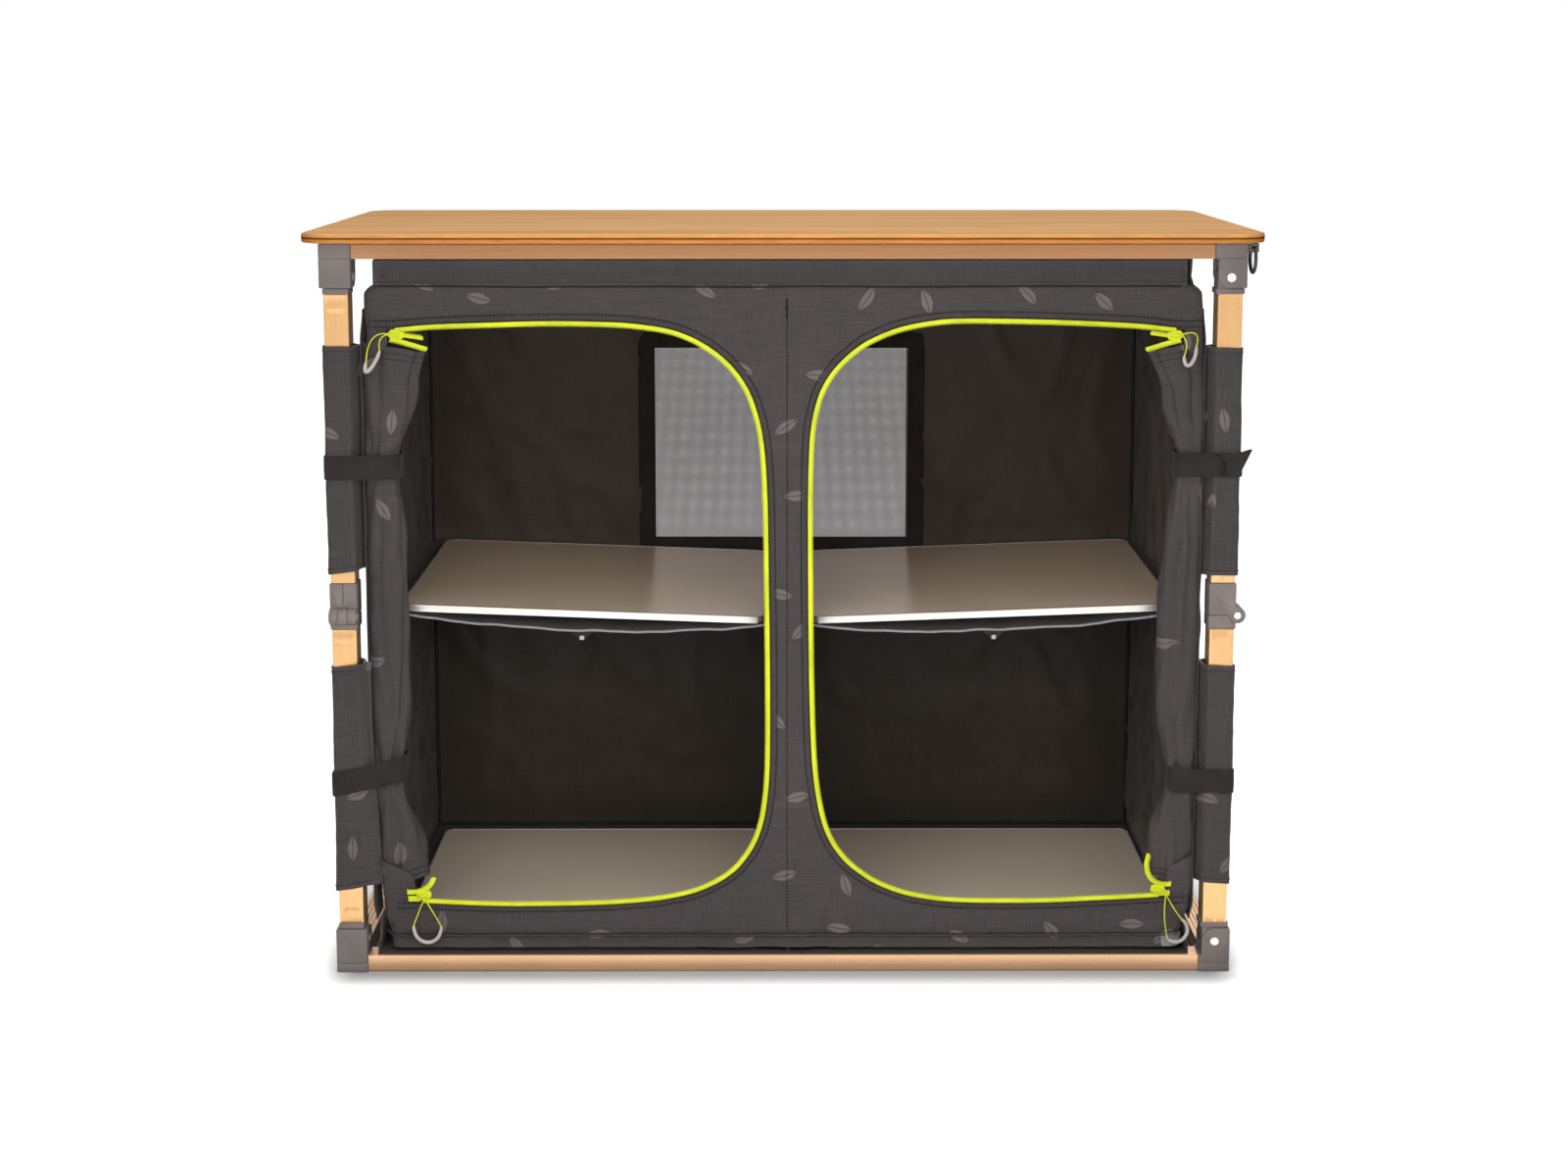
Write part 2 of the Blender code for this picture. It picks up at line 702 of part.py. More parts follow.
def net_wall():
    """The cabinet's back, with a net window whose strands cross in a grid."""
    half = window_width / 2
    pitch = (window_width - net_strand) / window_columns
    across = [-cabinet_half_width, -half]
    across += [-half + net_strand / 2 + pitch * i + side * net_strand / 2
               for i in range(1, window_columns) for side in (-1, 1)]
    across += [half, cabinet_half_width]
    pitch = (window_height - net_strand) / window_rows
    window_high = cloth_top - window_drop
    window_low = window_high - window_height
    up = [cloth_floor, window_low]
    up += [window_low + net_strand / 2 + pitch * i + side * net_strand / 2
           for i in range(1, window_rows) for side in (-1, 1)]
    up += [window_high, cloth_top]
    shape = bmesh.new()
    back = half_depth - cabinet_back
    grid = [[shape.verts.new((x, back, z)) for x in across] for z in up]
    for row in range(len(up) - 1):
        for column in range(len(across) - 1):
            inside = 0 < row < len(up) - 2 and 0 < column < len(across) - 2
            if inside and row % 2 == 1 and column % 2 == 1:
                continue
            shape.faces.new((grid[row][column], grid[row][column + 1],
                             grid[row + 1][column + 1], grid[row + 1][column]))
    mesh = bpy.data.meshes.new("cabinet")
    shape.to_mesh(mesh)
    shape.free()
    wall = add_object("cabinet", mesh, "grey_cloth")
    thicken = wall.modifiers.new("cloth", "SOLIDIFY")
    thicken.thickness = cloth
    thicken.offset = 1
    return wall


def shelf_line(side):
    """(x, z) of the underside of a hanging shelf at its outer end and at its inner end."""
    middle = seam_shift + side * shelf_centre_reach
    slope = math.radians(shelf_tilt_deg)
    half = shelf_width / 2
    low = shelf_centre_height - board_thickness / math.cos(slope) / 2
    rise = half * math.sin(slope)
    reach = half * math.cos(slope)
    return (middle + side * reach, low + rise), (middle - side * reach, low - rise)


def sling(side):
    """The cloth under a hanging shelf: it touches the board at both ends and sags between them."""
    outer, inner = shelf_line(side)
    wall_x = side * (cabinet_half_width - cloth / 2)
    slope = (outer[1] - inner[1]) / (outer[0] - inner[0])
    top = [(wall_x, outer[1] + slope * (wall_x - outer[0]) - seat_gap)]
    for i in range(sling_points + 1):
        t = i / sling_points
        x = outer[0] + (inner[0] - outer[0]) * t
        z = outer[1] + (inner[1] - outer[1]) * t - sling_gap - sling_sag * 4 * t * (1 - t)
        top.append((x, z))
    top.append((seam_shift, inner[1] + slope * (seam_shift - inner[0]) - seat_gap))
    outline = top + [(x, z - cloth) for x, z in reversed(top)]
    return plate(f"sling_{side}", outline, behind(shelf_front), behind(shelf_front + shelf_depth), "Y")


def add_cabinet():
    """Sides, floor, back and middle wall of the cloth cabinet, and the slings that carry the hanging shelves."""
    cabinet = net_wall()
    front = behind(cabinet_front)
    back = half_depth - cabinet_back - cloth / 2
    edge = cabinet_half_width
    join(cabinet, box("cabinet_floor", (-edge, front, cloth_floor), (edge, back, cloth_floor + cloth)))
    step = behind(roll_room_depth)
    room = (roll_low - roll_room_spare, roll_high + roll_room_spare)
    outline = [(front, cloth_floor), (back, cloth_floor), (back, cloth_top), (front, cloth_top),
               (front, room[1]), (step, room[1]), (step, room[0]), (front, room[0])]
    for side in (-1, 1):
        edges = sorted((side * edge, side * (edge - cloth)))
        join(cabinet, plate(f"cabinet_side_{side}", outline, edges[0], edges[1], "X"))
        join(cabinet, sling(side))
    half = cloth / 2
    join(cabinet, box("cabinet_middle", (seam_shift - half, front, cloth_floor), (seam_shift + half, back, cloth_top)))


def add_shelves():
    """Two base boards on the cloth floor and two hanging boards, which lean down towards the middle."""
    for word, side in (("left", -1), ("right", 1)):
        half = (shelf_width / 2, shelf_depth / 2)
        outline = rounded((-half[0], -half[1]), half, board_corner, 4)
        name = word + "_hanging_shelf"
        board = plate(name, outline, -board_thickness / 2, board_thickness / 2, "Z", "shelf_skin")
        place = (seam_shift + side * shelf_centre_reach, behind(shelf_front + half[1]), shelf_centre_height)
        board.location = place
        board.rotation_euler = (0, -side * math.radians(shelf_tilt_deg), 0)
        half = (base_width / 2, base_depth / 2)
        outline = rounded((-half[0], -half[1]), half, board_corner, 4)
        low = cloth_floor + cloth + seat_gap
        board = plate(word + "_base_board", outline, low, low + board_thickness, "Z", "shelf_skin")
        board.location = (seam_shift + side * base_centre_reach, behind(base_front + half[1]), 0)


def add_sleeves(pivots):
    """Cloth sleeves round the legs, each with a seam towards the cabinet."""
    inner = tube_side / 2 + sleeve_gap
    outer = inner + sleeve_cloth
    upper_low = knee_height + upper_sleeve_lift
    lower_high = knee_height - lower_sleeve_drop
    levels = (("lower", lower_high - sleeve_length, lower_high, 0), ("upper", upper_low, upper_low + sleeve_length, 1))
    for corner, (side, end, turn) in corners.items():
        x = side * leg_x
        y = end * leg_y
        edges = sorted((x + side * outer, x - side * (outer + sleeve_seam)))
        for label, low, high, level in levels:
            name = f"{corner}_{label}_sleeve"
            sleeve = box(name, (edges[0], y - outer, low), (edges[1], y + outer, high), "grey_cloth")
            room_low = (x - inner, y - inner, low - tube_side)
            room_high = (x + inner, y + inner, high + tube_side)
            cut(sleeve, box(name + "_room", room_low, room_high))
            hang_on(sleeve, pivots[corner][level])


def roll_section(share, outer, inner, front, deep):
    """One section of a rolled door: an oval between two reaches, with folds that run up the roll."""
    middle = (outer + inner) / 2
    half = (outer - inner) / 2
    tall = roll_low + (roll_high - roll_low) * share
    centre_y = behind(front + deep / 2)
    section = []
    for i in range(roll_points):
        angle = 2 * math.pi * i / roll_points
        fold = 1 - roll_fold_depth * (1 + math.cos(roll_folds * angle + roll_fold_turn * share)) / 2
        section.append((middle + half * fold * math.cos(angle), centre_y + deep / 2 * fold * math.sin(angle), tall))
    return section


def add_rolled_doors():
    """Each door is rolled to its outer side and tied to the leg at two heights."""
    # Share of the way up, outer and inner reach as shares of the cabinet's half width, depth as a share of the room
    stations = ((0.0, 0.977, 0.894, 0.35), (0.009, 0.979, 0.880, 0.45), (0.031, 0.982, 0.862, 0.55),
                (0.111, 0.990, 0.885, 0.67), (0.217, 0.998, 0.919, 0.60), (0.343, 1.0, 0.910, 0.75),
                (0.503, 1.002, 0.910, 0.77), (0.642, 1.0, 0.915, 0.75), (0.778, 0.996, 0.915, 0.62),
                (0.858, 0.995, 0.900, 0.67), (0.933, 0.993, 0.878, 0.60), (0.981, 0.991, 0.855, 0.42),
                (1.0, 0.985, 0.870, 0.25))
    for word, side in (("left", -1), ("right", 1)):
        rings = []
        for share, outer, inner, deep in stations:
            reach = (outer * cabinet_half_width, inner * cabinet_half_width)
            section = roll_section(share, *reach, roll_front, deep * roll_room_depth)
            rings.append([(side * x, y, z) for x, y, z in section])
        loft(word + "_rolled_door", rings, "grey_cloth")


clear_scene()
add_finishes()
pivots, top = add_pivots()
copies = add_legs(pivots)
add_rails(top)
add_top(top)
ring_axle = add_ring(copies["front_right_head_bracket"])
hang_on(ring_axle, top)
add_front_panel()
add_zips()
add_cabinet()
add_shelves()
add_sleeves(pivots)
add_rolled_doors()
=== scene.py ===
import math

import bmesh
import bpy
from mathutils import Matrix, Vector, noise
from mathutils.geometry import delaunay_2d_cdt


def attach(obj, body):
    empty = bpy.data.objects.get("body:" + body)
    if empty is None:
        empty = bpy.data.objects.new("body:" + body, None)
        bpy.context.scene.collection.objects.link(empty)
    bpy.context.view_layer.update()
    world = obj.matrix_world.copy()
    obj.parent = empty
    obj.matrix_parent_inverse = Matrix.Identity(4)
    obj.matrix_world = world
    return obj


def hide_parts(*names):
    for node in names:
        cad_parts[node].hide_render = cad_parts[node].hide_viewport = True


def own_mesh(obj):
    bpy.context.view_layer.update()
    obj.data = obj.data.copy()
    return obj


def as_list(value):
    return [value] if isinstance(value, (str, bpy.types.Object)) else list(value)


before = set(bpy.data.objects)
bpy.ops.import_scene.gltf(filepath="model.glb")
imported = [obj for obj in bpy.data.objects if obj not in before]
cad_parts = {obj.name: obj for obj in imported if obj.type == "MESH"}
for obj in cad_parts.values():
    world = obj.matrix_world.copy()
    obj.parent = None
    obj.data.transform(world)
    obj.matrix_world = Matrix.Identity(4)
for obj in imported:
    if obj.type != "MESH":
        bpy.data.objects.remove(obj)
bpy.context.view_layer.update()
topFront = -0.2375            # y of the table's front edge
cornerTurns = {"front_left": (-1, -1, 0), "front_right": (1, -1, 90),
               "back_right": (1, 1, 180), "back_left": (-1, 1, 270)}
legAt = {"x": 0.4612, "y": 0.218, "foot": 0.0336, "knee": 0.3893, "head": 0.745, "offset": 0.0158}


def yAt(distance):
    return topFront + distance


# A mesh object from points and faces.
def newPiece(name, points, faces, material, smooth=True, sharp=38):
    mesh = bpy.data.meshes.new(name)
    mesh.from_pydata([tuple(p) for p in points], [], faces)
    shape = bmesh.new()
    shape.from_mesh(mesh)
    bmesh.ops.recalc_face_normals(shape, faces=shape.faces)
    shape.to_mesh(mesh)
    shape.free()
    return wrapMesh(name, mesh, material, smooth, sharp)


def wrapMesh(name, mesh, material, smooth=True, sharp=38):
    obj = bpy.data.objects.new(name, mesh)
    bpy.context.scene.collection.objects.link(obj)
    if material:
        mesh.materials.clear()
        mesh.materials.append(material)
    if smooth:
        mesh.shade_smooth()
        mesh.set_sharp_from_angle(angle=math.radians(sharp))
    return obj


# A skin through rings of points that all have the same count.
def stack(name, rings, material, caps=True, closed=False, sharp=38):
    count = len(rings[0])
    points = [p for ring in rings for p in ring]
    faces = []
    levels = len(rings) if closed else len(rings) - 1
    for i in range(levels):
        for j in range(count):
            a, b = i * count + j, i * count + (j + 1) % count
            k = ((i + 1) % len(rings)) * count
            faces.append((a, b, k + (j + 1) % count, k + j))
    if caps and not closed:
        faces += [tuple(range(count)), tuple(range((len(rings) - 1) * count, len(rings) * count))]
    return newPiece(name, points, faces, material, sharp=sharp)


# A rectangle with round corners as (x, y), with extra points along its flats.
def roundRect(halfX, halfY, radius, steps=4, flats=1, centre=(0, 0)):
    radius = min(radius, halfX - 1e-5, halfY - 1e-5)
    corners = ((1, -1, -90), (1, 1, 0), (-1, 1, 90), (-1, -1, 180))
    points = []
    for sx, sy, start in corners:
        for i in range(steps + 1):
            angle = math.radians(start + 90 * i / steps)
            points.append((centre[0] + sx * (halfX - radius) + radius * math.cos(angle),
                           centre[1] + sy * (halfY - radius) + radius * math.sin(angle)))
        if flats > 1:
            nextX, nextY = {-90: (1, 1), 0: (-1, 1), 90: (-1, -1), 180: (1, -1)}[start]
            angle = math.radians(start + 90)
            endX = centre[0] + nextX * (halfX - radius) + radius * math.cos(angle)
            endY = centre[1] + nextY * (halfY - radius) + radius * math.sin(angle)
            x, y = points[-1]
            points += [(x + (endX - x) * k / flats, y + (endY - y) * k / flats) for k in range(1, flats)]
    return points


# A board with round corners. The profile lists (inset, height) from the lower face to the upper one.
def slab(name, centre, half, corner, profile, material, steps=8):
    rings = []
    for inset, tall in profile:
        outline = roundRect(half[0] - inset, half[1] - inset, max(corner - inset, 0.0004), steps, centre=centre)
        rings.append([(x, y, tall) for x, y in outline])
    return stack(name, rings, material)


# A box with rounded edges, the usual start of a moulding.
def block(name, low, high, radius, material=None, segments=3):
    shape = bmesh.new()
    bmesh.ops.create_cube(shape, size=1.0)
    low, high = Vector(low), Vector(high)
    bmesh.ops.transform(shape, matrix=Matrix.Translation((low + high) / 2) @ Matrix.Diagonal((*(high - low), 1)),
                        verts=shape.verts)
    bmesh.ops.bevel(shape, geom=list(shape.edges), offset=radius, segments=segments, profile=0.5, affect="EDGES")
    mesh = bpy.data.meshes.new(name)
    shape.to_mesh(mesh)
    shape.free()
    return wrapMesh(name, mesh, material)


# A turned piece: the profile lists (distance along the axis, radius).
def turned(name, profile, start, axis, material=None, sides=28):
    turn = {"X": Matrix.Rotation(math.radians(90), 3, "Y"), "Y": Matrix.Rotation(math.radians(-90), 3, "X"),
            "Z": Matrix.Identity(3)}[axis]
    rings = []
    for along, radius in profile:
        rings.append([Vector(start) + turn @ Vector((radius * math.cos(2 * math.pi * i / sides),
                                                     radius * math.sin(2 * math.pi * i / sides), along))
                      for i in range(sides)])
    return stack(name, rings, material)


# A round bar with softened rims.
def barrel(name, radius, rim, start, length, axis, material=None, sides=28):
    profile = [(0, radius - rim), (rim * 0.3, radius - rim * 0.3), (rim, radius), (length - rim, radius),
               (length - rim * 0.3, radius - rim * 0.3), (length, radius - rim)]
    return turned(name, profile, start, axis, material, sides)


# Applies the modifiers of a piece.
def settled(obj):
    bpy.context.view_layer.update()
    graph = bpy.context.evaluated_depsgraph_get()
    mesh = bpy.data.meshes.new_from_object(obj.evaluated_get(graph))
    obj.modifiers.clear()
    obj.data = mesh
    return obj


# Joins pieces to a target, or cuts them from it, and leaves one plain mesh.
def combine(target, others, operation="UNION"):
    for other in others:
        step = target.modifiers.new("step", "BOOLEAN")
        step.operation = operation
        step.solver = "EXACT"
        step.object = other
    settled(target)
    for other in others:
        bpy.data.objects.remove(other, do_unlink=True)
    target.data.shade_smooth()
    target.data.set_sharp_from_angle(angle=math.radians(38))
    return target


# Puts pieces and their materials into one object.
def gather(name, pieces):
    points, faces, marks, materials = [], [], [], []
    for piece in pieces:
        offset = len(points)
        points += [piece.matrix_world @ v.co for v in piece.data.vertices]
        slots = []
        for material in piece.data.materials:
            if material not in materials:
                materials.append(material)
            slots.append(materials.index(material))
        for face in piece.data.polygons:
            faces.append(tuple(offset + i for i in face.vertices))
            marks.append(slots[face.material_index] if slots else 0)
        bpy.data.objects.remove(piece, do_unlink=True)
    mesh = bpy.data.meshes.new(name)
    mesh.from_pydata([tuple(p) for p in points], [], faces)
    for material in materials:
        mesh.materials.append(material)
    mesh.polygons.foreach_set("material_index", marks)
    mesh.shade_smooth()
    mesh.set_sharp_from_angle(angle=math.radians(38))
    return wrapMesh(name, mesh, None, smooth=False)


def directions(points, closed=False):
    count = len(points)
    found = []
    for i in range(count):
        before = points[i - 1] if i or closed else points[i]
        after = points[(i + 1) % count] if i < count - 1 or closed else points[i]
        found.append((Vector(after) - Vector(before)).normalized())
    return found


# A round cord or piping along points. flat squeezes it across the line.
def tube(name, points, radius, material, sides=8, closed=False, flat=1.0):
    points = [Vector(p) for p in points]
    heading = directions(points, closed)
    side = heading[0].orthogonal().normalized()
    rings = []
    for point, along in zip(points, heading):
        side = (side - along * side.dot(along)).normalized()
        other = along.cross(side)
        rings.append([point + side * (radius * math.cos(2 * math.pi * k / sides))
                      + other * (radius * flat * math.sin(2 * math.pi * k / sides)) for k in range(sides)])
    return stack(name, rings, material, closed=closed, sharp=60)


# A flat strip along points, as webbing or tape. Its width runs across the line and the normal.
def band(name, points, normals, width, thickness, material, closed=False, crown=0.0, edge=0.25):
    points = [Vector(p) for p in points]
    heading = directions(points, closed)
    half, deep = width / 2, thickness / 2
    rim = thickness * edge
    section = [(-half, -deep + rim), (-half + rim, -deep), (0, -deep - crown), (half - rim, -deep),
               (half, -deep + rim), (half, deep - rim), (half - rim, deep), (0, deep + crown), (-half + rim, deep),
               (-half, deep - rim)]
    rings = []
    for point, along, normal in zip(points, heading, normals):
        normal = Vector(normal)
        normal = (normal - along * normal.dot(along)).normalized()
        across = along.cross(normal)
        rings.append([point + across * a + normal * b for a, b in section])
    return stack(name, rings, material, closed=closed, sharp=50)


# Points at even steps along a line.
def resample(points, step, closed=False):
    points = [Vector(p) for p in points]
    if closed:
        points = points + [points[0]]
    lengths = [0.0]
    for a, b in zip(points, points[1:]):
        lengths.append(lengths[-1] + (b - a).length)
    count = max(2, round(lengths[-1] / step))
    found, j = [], 0
    for i in range(count + (0 if closed else 1)):
        want = lengths[-1] * i / count
        while j < len(points) - 2 and lengths[j + 1] < want:
            j += 1
        span = max(lengths[j + 1] - lengths[j], 1e-9)
        found.append(points[j].lerp(points[j + 1], (want - lengths[j]) / span))
    return found


# Rows of sewn stitches: each is a small bead of thread that lies along its line.
def stitches(name, lines, material, length=0.0030, gap=0.0014, radius=0.00028):
    points, faces = [], []
    for line, normal in lines:
        normal = Vector(normal)
        path = resample(line, length + gap)
        for a, b in zip(path, path[1:]):
            along = (b - a).normalized()
            across = along.cross(normal).normalized()
            end = a + along * length
            middle = (a + end) / 2 + normal * radius * 1.1
            base = len(points)
            points += [a - normal * radius * 0.3]
            for side, up in ((1, 0), (0, 1), (-1, 0), (0, -0.6)):
                points.append(middle + across * side * radius + normal * up * radius)
            points += [end - normal * radius * 0.3]
            for k in range(4):
                faces.append((base, base + 1 + k, base + 1 + (k + 1) % 4))
                faces.append((base + 5, base + 1 + (k + 1) % 4, base + 1 + k))
    return newPiece(name, points, faces, material, sharp=70)


def smoothStep(value, low, high):
    if high == low:
        return 1.0 if value >= high else 0.0
    t = min(max((value - low) / (high - low), 0.0), 1.0)
    return t * t * (3 - 2 * t)


def wobble(x, y, z, scale, seed=0.0):
    return noise.noise(Vector((x * scale + seed, y * scale - seed * 0.7, z * scale + seed * 1.3)))


# Reads a table of (z, value, ...) at a height, with smooth steps between its rows.
def along(stations, z):
    if z <= stations[0][0]:
        return stations[0][1:]
    for low, high in zip(stations, stations[1:]):
        if z <= high[0]:
            t = smoothStep(z, low[0], high[0])
            return tuple(a + (b - a) * t for a, b in zip(low[1:], high[1:]))
    return stations[-1][1:]


# Hangs a piece on its body, hides what it stands for, and gives folding cloth a mesh of its own.
def finishPiece(obj, body, replaced=(), fold=False):
    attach(obj, body)
    if replaced:
        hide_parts(*replaced)
    if fold:
        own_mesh(obj)
    return obj


# A node group with named inputs and outputs.
def newGroup(name, inputs, outputs):
    tree = bpy.data.node_groups.new(name, "ShaderNodeTree")
    for label, kind, value in inputs:
        socket = tree.interface.new_socket(name=label, in_out="INPUT", socket_type=kind)
        if value is not None:
            socket.default_value = value
    for label, kind in outputs:
        tree.interface.new_socket(name=label, in_out="OUTPUT", socket_type=kind)
    return tree, tree.nodes.new("NodeGroupInput").outputs, tree.nodes.new("NodeGroupOutput").inputs


def put(tree, kind, links=None, **settings):
    node = tree.nodes.new(kind)
    for key, value in settings.items():
        setattr(node, key, value)
    for socket, source in (links or {}).items():
        if isinstance(source, bpy.types.NodeSocket):
            tree.links.new(source, node.inputs[socket])
        else:
            node.inputs[socket].default_value = source
    return node


def calc(tree, operation, *values):
    return put(tree, "ShaderNodeMath", dict(enumerate(values)), operation=operation).outputs[0]


def ramp(tree, value, stops, interpolation="LINEAR"):
    node = put(tree, "ShaderNodeValToRGB", {0: value})
    node.color_ramp.interpolation = interpolation
    elements = node.color_ramp.elements
    while len(elements) < len(stops):
        elements.new(0.5)
    for element, (place, colour) in zip(elements, stops):
        element.position = place
        element.color = (*colour, 1) if len(colour) == 3 else colour
    return node.outputs[0]


def blendColour(tree, share, first, second, mode="MIX"):
    node = put(tree, "ShaderNodeMix", data_type="RGBA", blend_type=mode)
    for index, source in ((0, share), (6, first), (7, second)):
        if isinstance(source, bpy.types.NodeSocket):
            tree.links.new(source, node.inputs[index])
        else:
            node.inputs[index].default_value = source if index == 0 else (*source, 1)
    return node.outputs[2]


def fineNoise(tree, vector, scale, detail=2.0, stretch=(1, 1, 1), distortion=0.0):
    scaled = put(tree, "ShaderNodeVectorMath", {0: vector, 1: stretch}, operation="MULTIPLY").outputs[0]
    return put(tree, "ShaderNodeTexNoise", {"Vector": scaled, "Scale": scale, "Detail": detail,
                                            "Distortion": distortion}).outputs[0]


# Plain weave on upright cloth: warp and weft cross in a checker, with uneven yarn.
def weaveGroup():
    tree, given, out = newGroup("plainWeave", [("Vector", "NodeSocketVector", None),
                                               ("Threads", "NodeSocketFloat", 900.0),
                                               ("Slub", "NodeSocketFloat", 0.5)],
                                [("Height", "NodeSocketFloat"), ("Tone", "NodeSocketFloat")])
    parts = put(tree, "ShaderNodeSeparateXYZ", {0: given["Vector"]}).outputs
    turns = calc(tree, "MULTIPLY", given["Threads"], 2 * math.pi)
    across = calc(tree, "ADD", parts[0], parts[1])
    warp = calc(tree, "SINE", calc(tree, "MULTIPLY", across, turns))
    weft = calc(tree, "SINE", calc(tree, "MULTIPLY", parts[2], turns))
    yarnUp = fineNoise(tree, given["Vector"], 60, 1, (12, 12, 0.6))
    yarnOver = fineNoise(tree, given["Vector"], 60, 1, (0.6, 0.6, 12))
    yarn = calc(tree, "ADD", yarnUp, yarnOver)
    height = calc(tree, "MULTIPLY_ADD", calc(tree, "MULTIPLY", warp, weft), 0.5, 0.5)
    tree.links.new(calc(tree, "MULTIPLY", height, calc(tree, "MULTIPLY_ADD", yarn, 0.5, 0.5)), out["Height"])
    spread = calc(tree, "MULTIPLY", calc(tree, "SUBTRACT", yarn, 1.0), given["Slub"])
    tree.links.new(calc(tree, "ADD", spread, 0.5), out["Tone"])
    return tree


# A tonal print of small scattered leaves, in rows a half step apart.
def leafGroup():
    tree, given, out = newGroup("tonalLeaves", [("Vector", "NodeSocketVector", None),
                                                ("Pitch", "NodeSocketFloat", 0.078)],
                                [("Mask", "NodeSocketFloat")])
    parts = put(tree, "ShaderNodeSeparateXYZ", {0: given["Vector"]}).outputs
    across = calc(tree, "DIVIDE", calc(tree, "ADD", parts[0], parts[1]), given["Pitch"])
    up = calc(tree, "DIVIDE", parts[2], given["Pitch"])
    row = calc(tree, "FLOOR", up)
    across = calc(tree, "MULTIPLY_ADD", row, 0.5, across)
    column = calc(tree, "FLOOR", across)
    cell = put(tree, "ShaderNodeCombineXYZ", {0: column, 1: row}).outputs[0]
    random = put(tree, "ShaderNodeTexWhiteNoise", {"Vector": cell}, noise_dimensions="2D").outputs
    turn = calc(tree, "MULTIPLY", random[0], 6.283)
    shift = put(tree, "ShaderNodeSeparateXYZ", {0: random[1]}).outputs
    x = calc(tree, "SUBTRACT", calc(tree, "FRACT", across), calc(tree, "MULTIPLY_ADD", shift[0], 0.6, 0.2))
    y = calc(tree, "SUBTRACT", calc(tree, "FRACT", up), calc(tree, "MULTIPLY_ADD", shift[1], 0.6, 0.2))
    sine, cosine = calc(tree, "SINE", turn), calc(tree, "COSINE", turn)
    lengthwise = calc(tree, "ADD", calc(tree, "MULTIPLY", x, cosine), calc(tree, "MULTIPLY", y, sine))
    sideways = calc(tree, "SUBTRACT", calc(tree, "MULTIPLY", y, cosine), calc(tree, "MULTIPLY", x, sine))
    sideways = calc(tree, "ABSOLUTE", sideways)
    reach = calc(tree, "POWER", calc(tree, "ABSOLUTE", calc(tree, "DIVIDE", lengthwise, 0.18)), 2.0)
    outline = calc(tree, "SUBTRACT", calc(tree, "MULTIPLY_ADD", reach, -0.072, 0.072), sideways)
    leaf = put(tree, "ShaderNodeMapRange", {0: outline, 1: 0.0, 2: 0.006}).outputs[0]
    rib = put(tree, "ShaderNodeMapRange", {0: sideways, 1: 0.004, 2: 0.009}).outputs[0]
    tree.links.new(calc(tree, "MULTIPLY", leaf, rib), out["Mask"])
    return tree


# Uneven tone and gloss from use: broad clouding, fine grain, and rubbed edges.
def handlingGroup():
    tree, given, out = newGroup("handling", [("Vector", "NodeSocketVector", None),
                                             ("Edges", "NodeSocketFloat", 0.5),
                                             ("Cloud Scale", "NodeSocketFloat", 9.0),
                                             ("Grain Scale", "NodeSocketFloat", 900.0)],
                                [("Cloud", "NodeSocketFloat"), ("Grain", "NodeSocketFloat"),
                                 ("Rub", "NodeSocketFloat")])
    cloud = put(tree, "ShaderNodeTexNoise", {"Vector": given["Vector"], "Scale": given["Cloud Scale"],
                                             "Detail": 4.0, "Roughness": 0.6}).outputs[0]
    grain = put(tree, "ShaderNodeTexNoise", {"Vector": given["Vector"], "Scale": given["Grain Scale"],
                                             "Detail": 2.0}).outputs[0]
    edges = put(tree, "ShaderNodeMapRange", {0: given["Edges"], 1: 0.52, 2: 0.60}).outputs[0]
    tree.links.new(cloud, out["Cloud"])
    tree.links.new(grain, out["Grain"])
    tree.links.new(calc(tree, "MULTIPLY", edges, cloud), out["Rub"])
    return tree


groups = {"weave": weaveGroup(), "leaves": leafGroup(), "handling": handlingGroup()}


def placeGroup(tree, label, links):
    node = put(tree, "ShaderNodeGroup")
    node.node_tree = groups[label]
    for socket, source in links.items():
        if isinstance(source, bpy.types.NodeSocket):
            tree.links.new(source, node.inputs[socket])
        else:
            node.inputs[socket].default_value = source
    return node.outputs


# A material with its Principled shader, and the coordinates of the object.
def startMaterial(name, **constants):
    material = bpy.data.materials.new(name)
    material.use_nodes = True
    tree = material.node_tree
    shader = tree.nodes["Principled BSDF"]
    for label, value in constants.items():
        shader.inputs[label.replace("_", " ")].default_value = value
    place = put(tree, "ShaderNodeTexCoord").outputs["Object"]
    return material, tree, shader, place


def bumpFrom(tree, shader, height, strength, distance):
    node = put(tree, "ShaderNodeBump", {"Height": height, "Strength": strength, "Distance": distance})
    tree.links.new(node.outputs[0], shader.inputs["Normal"])


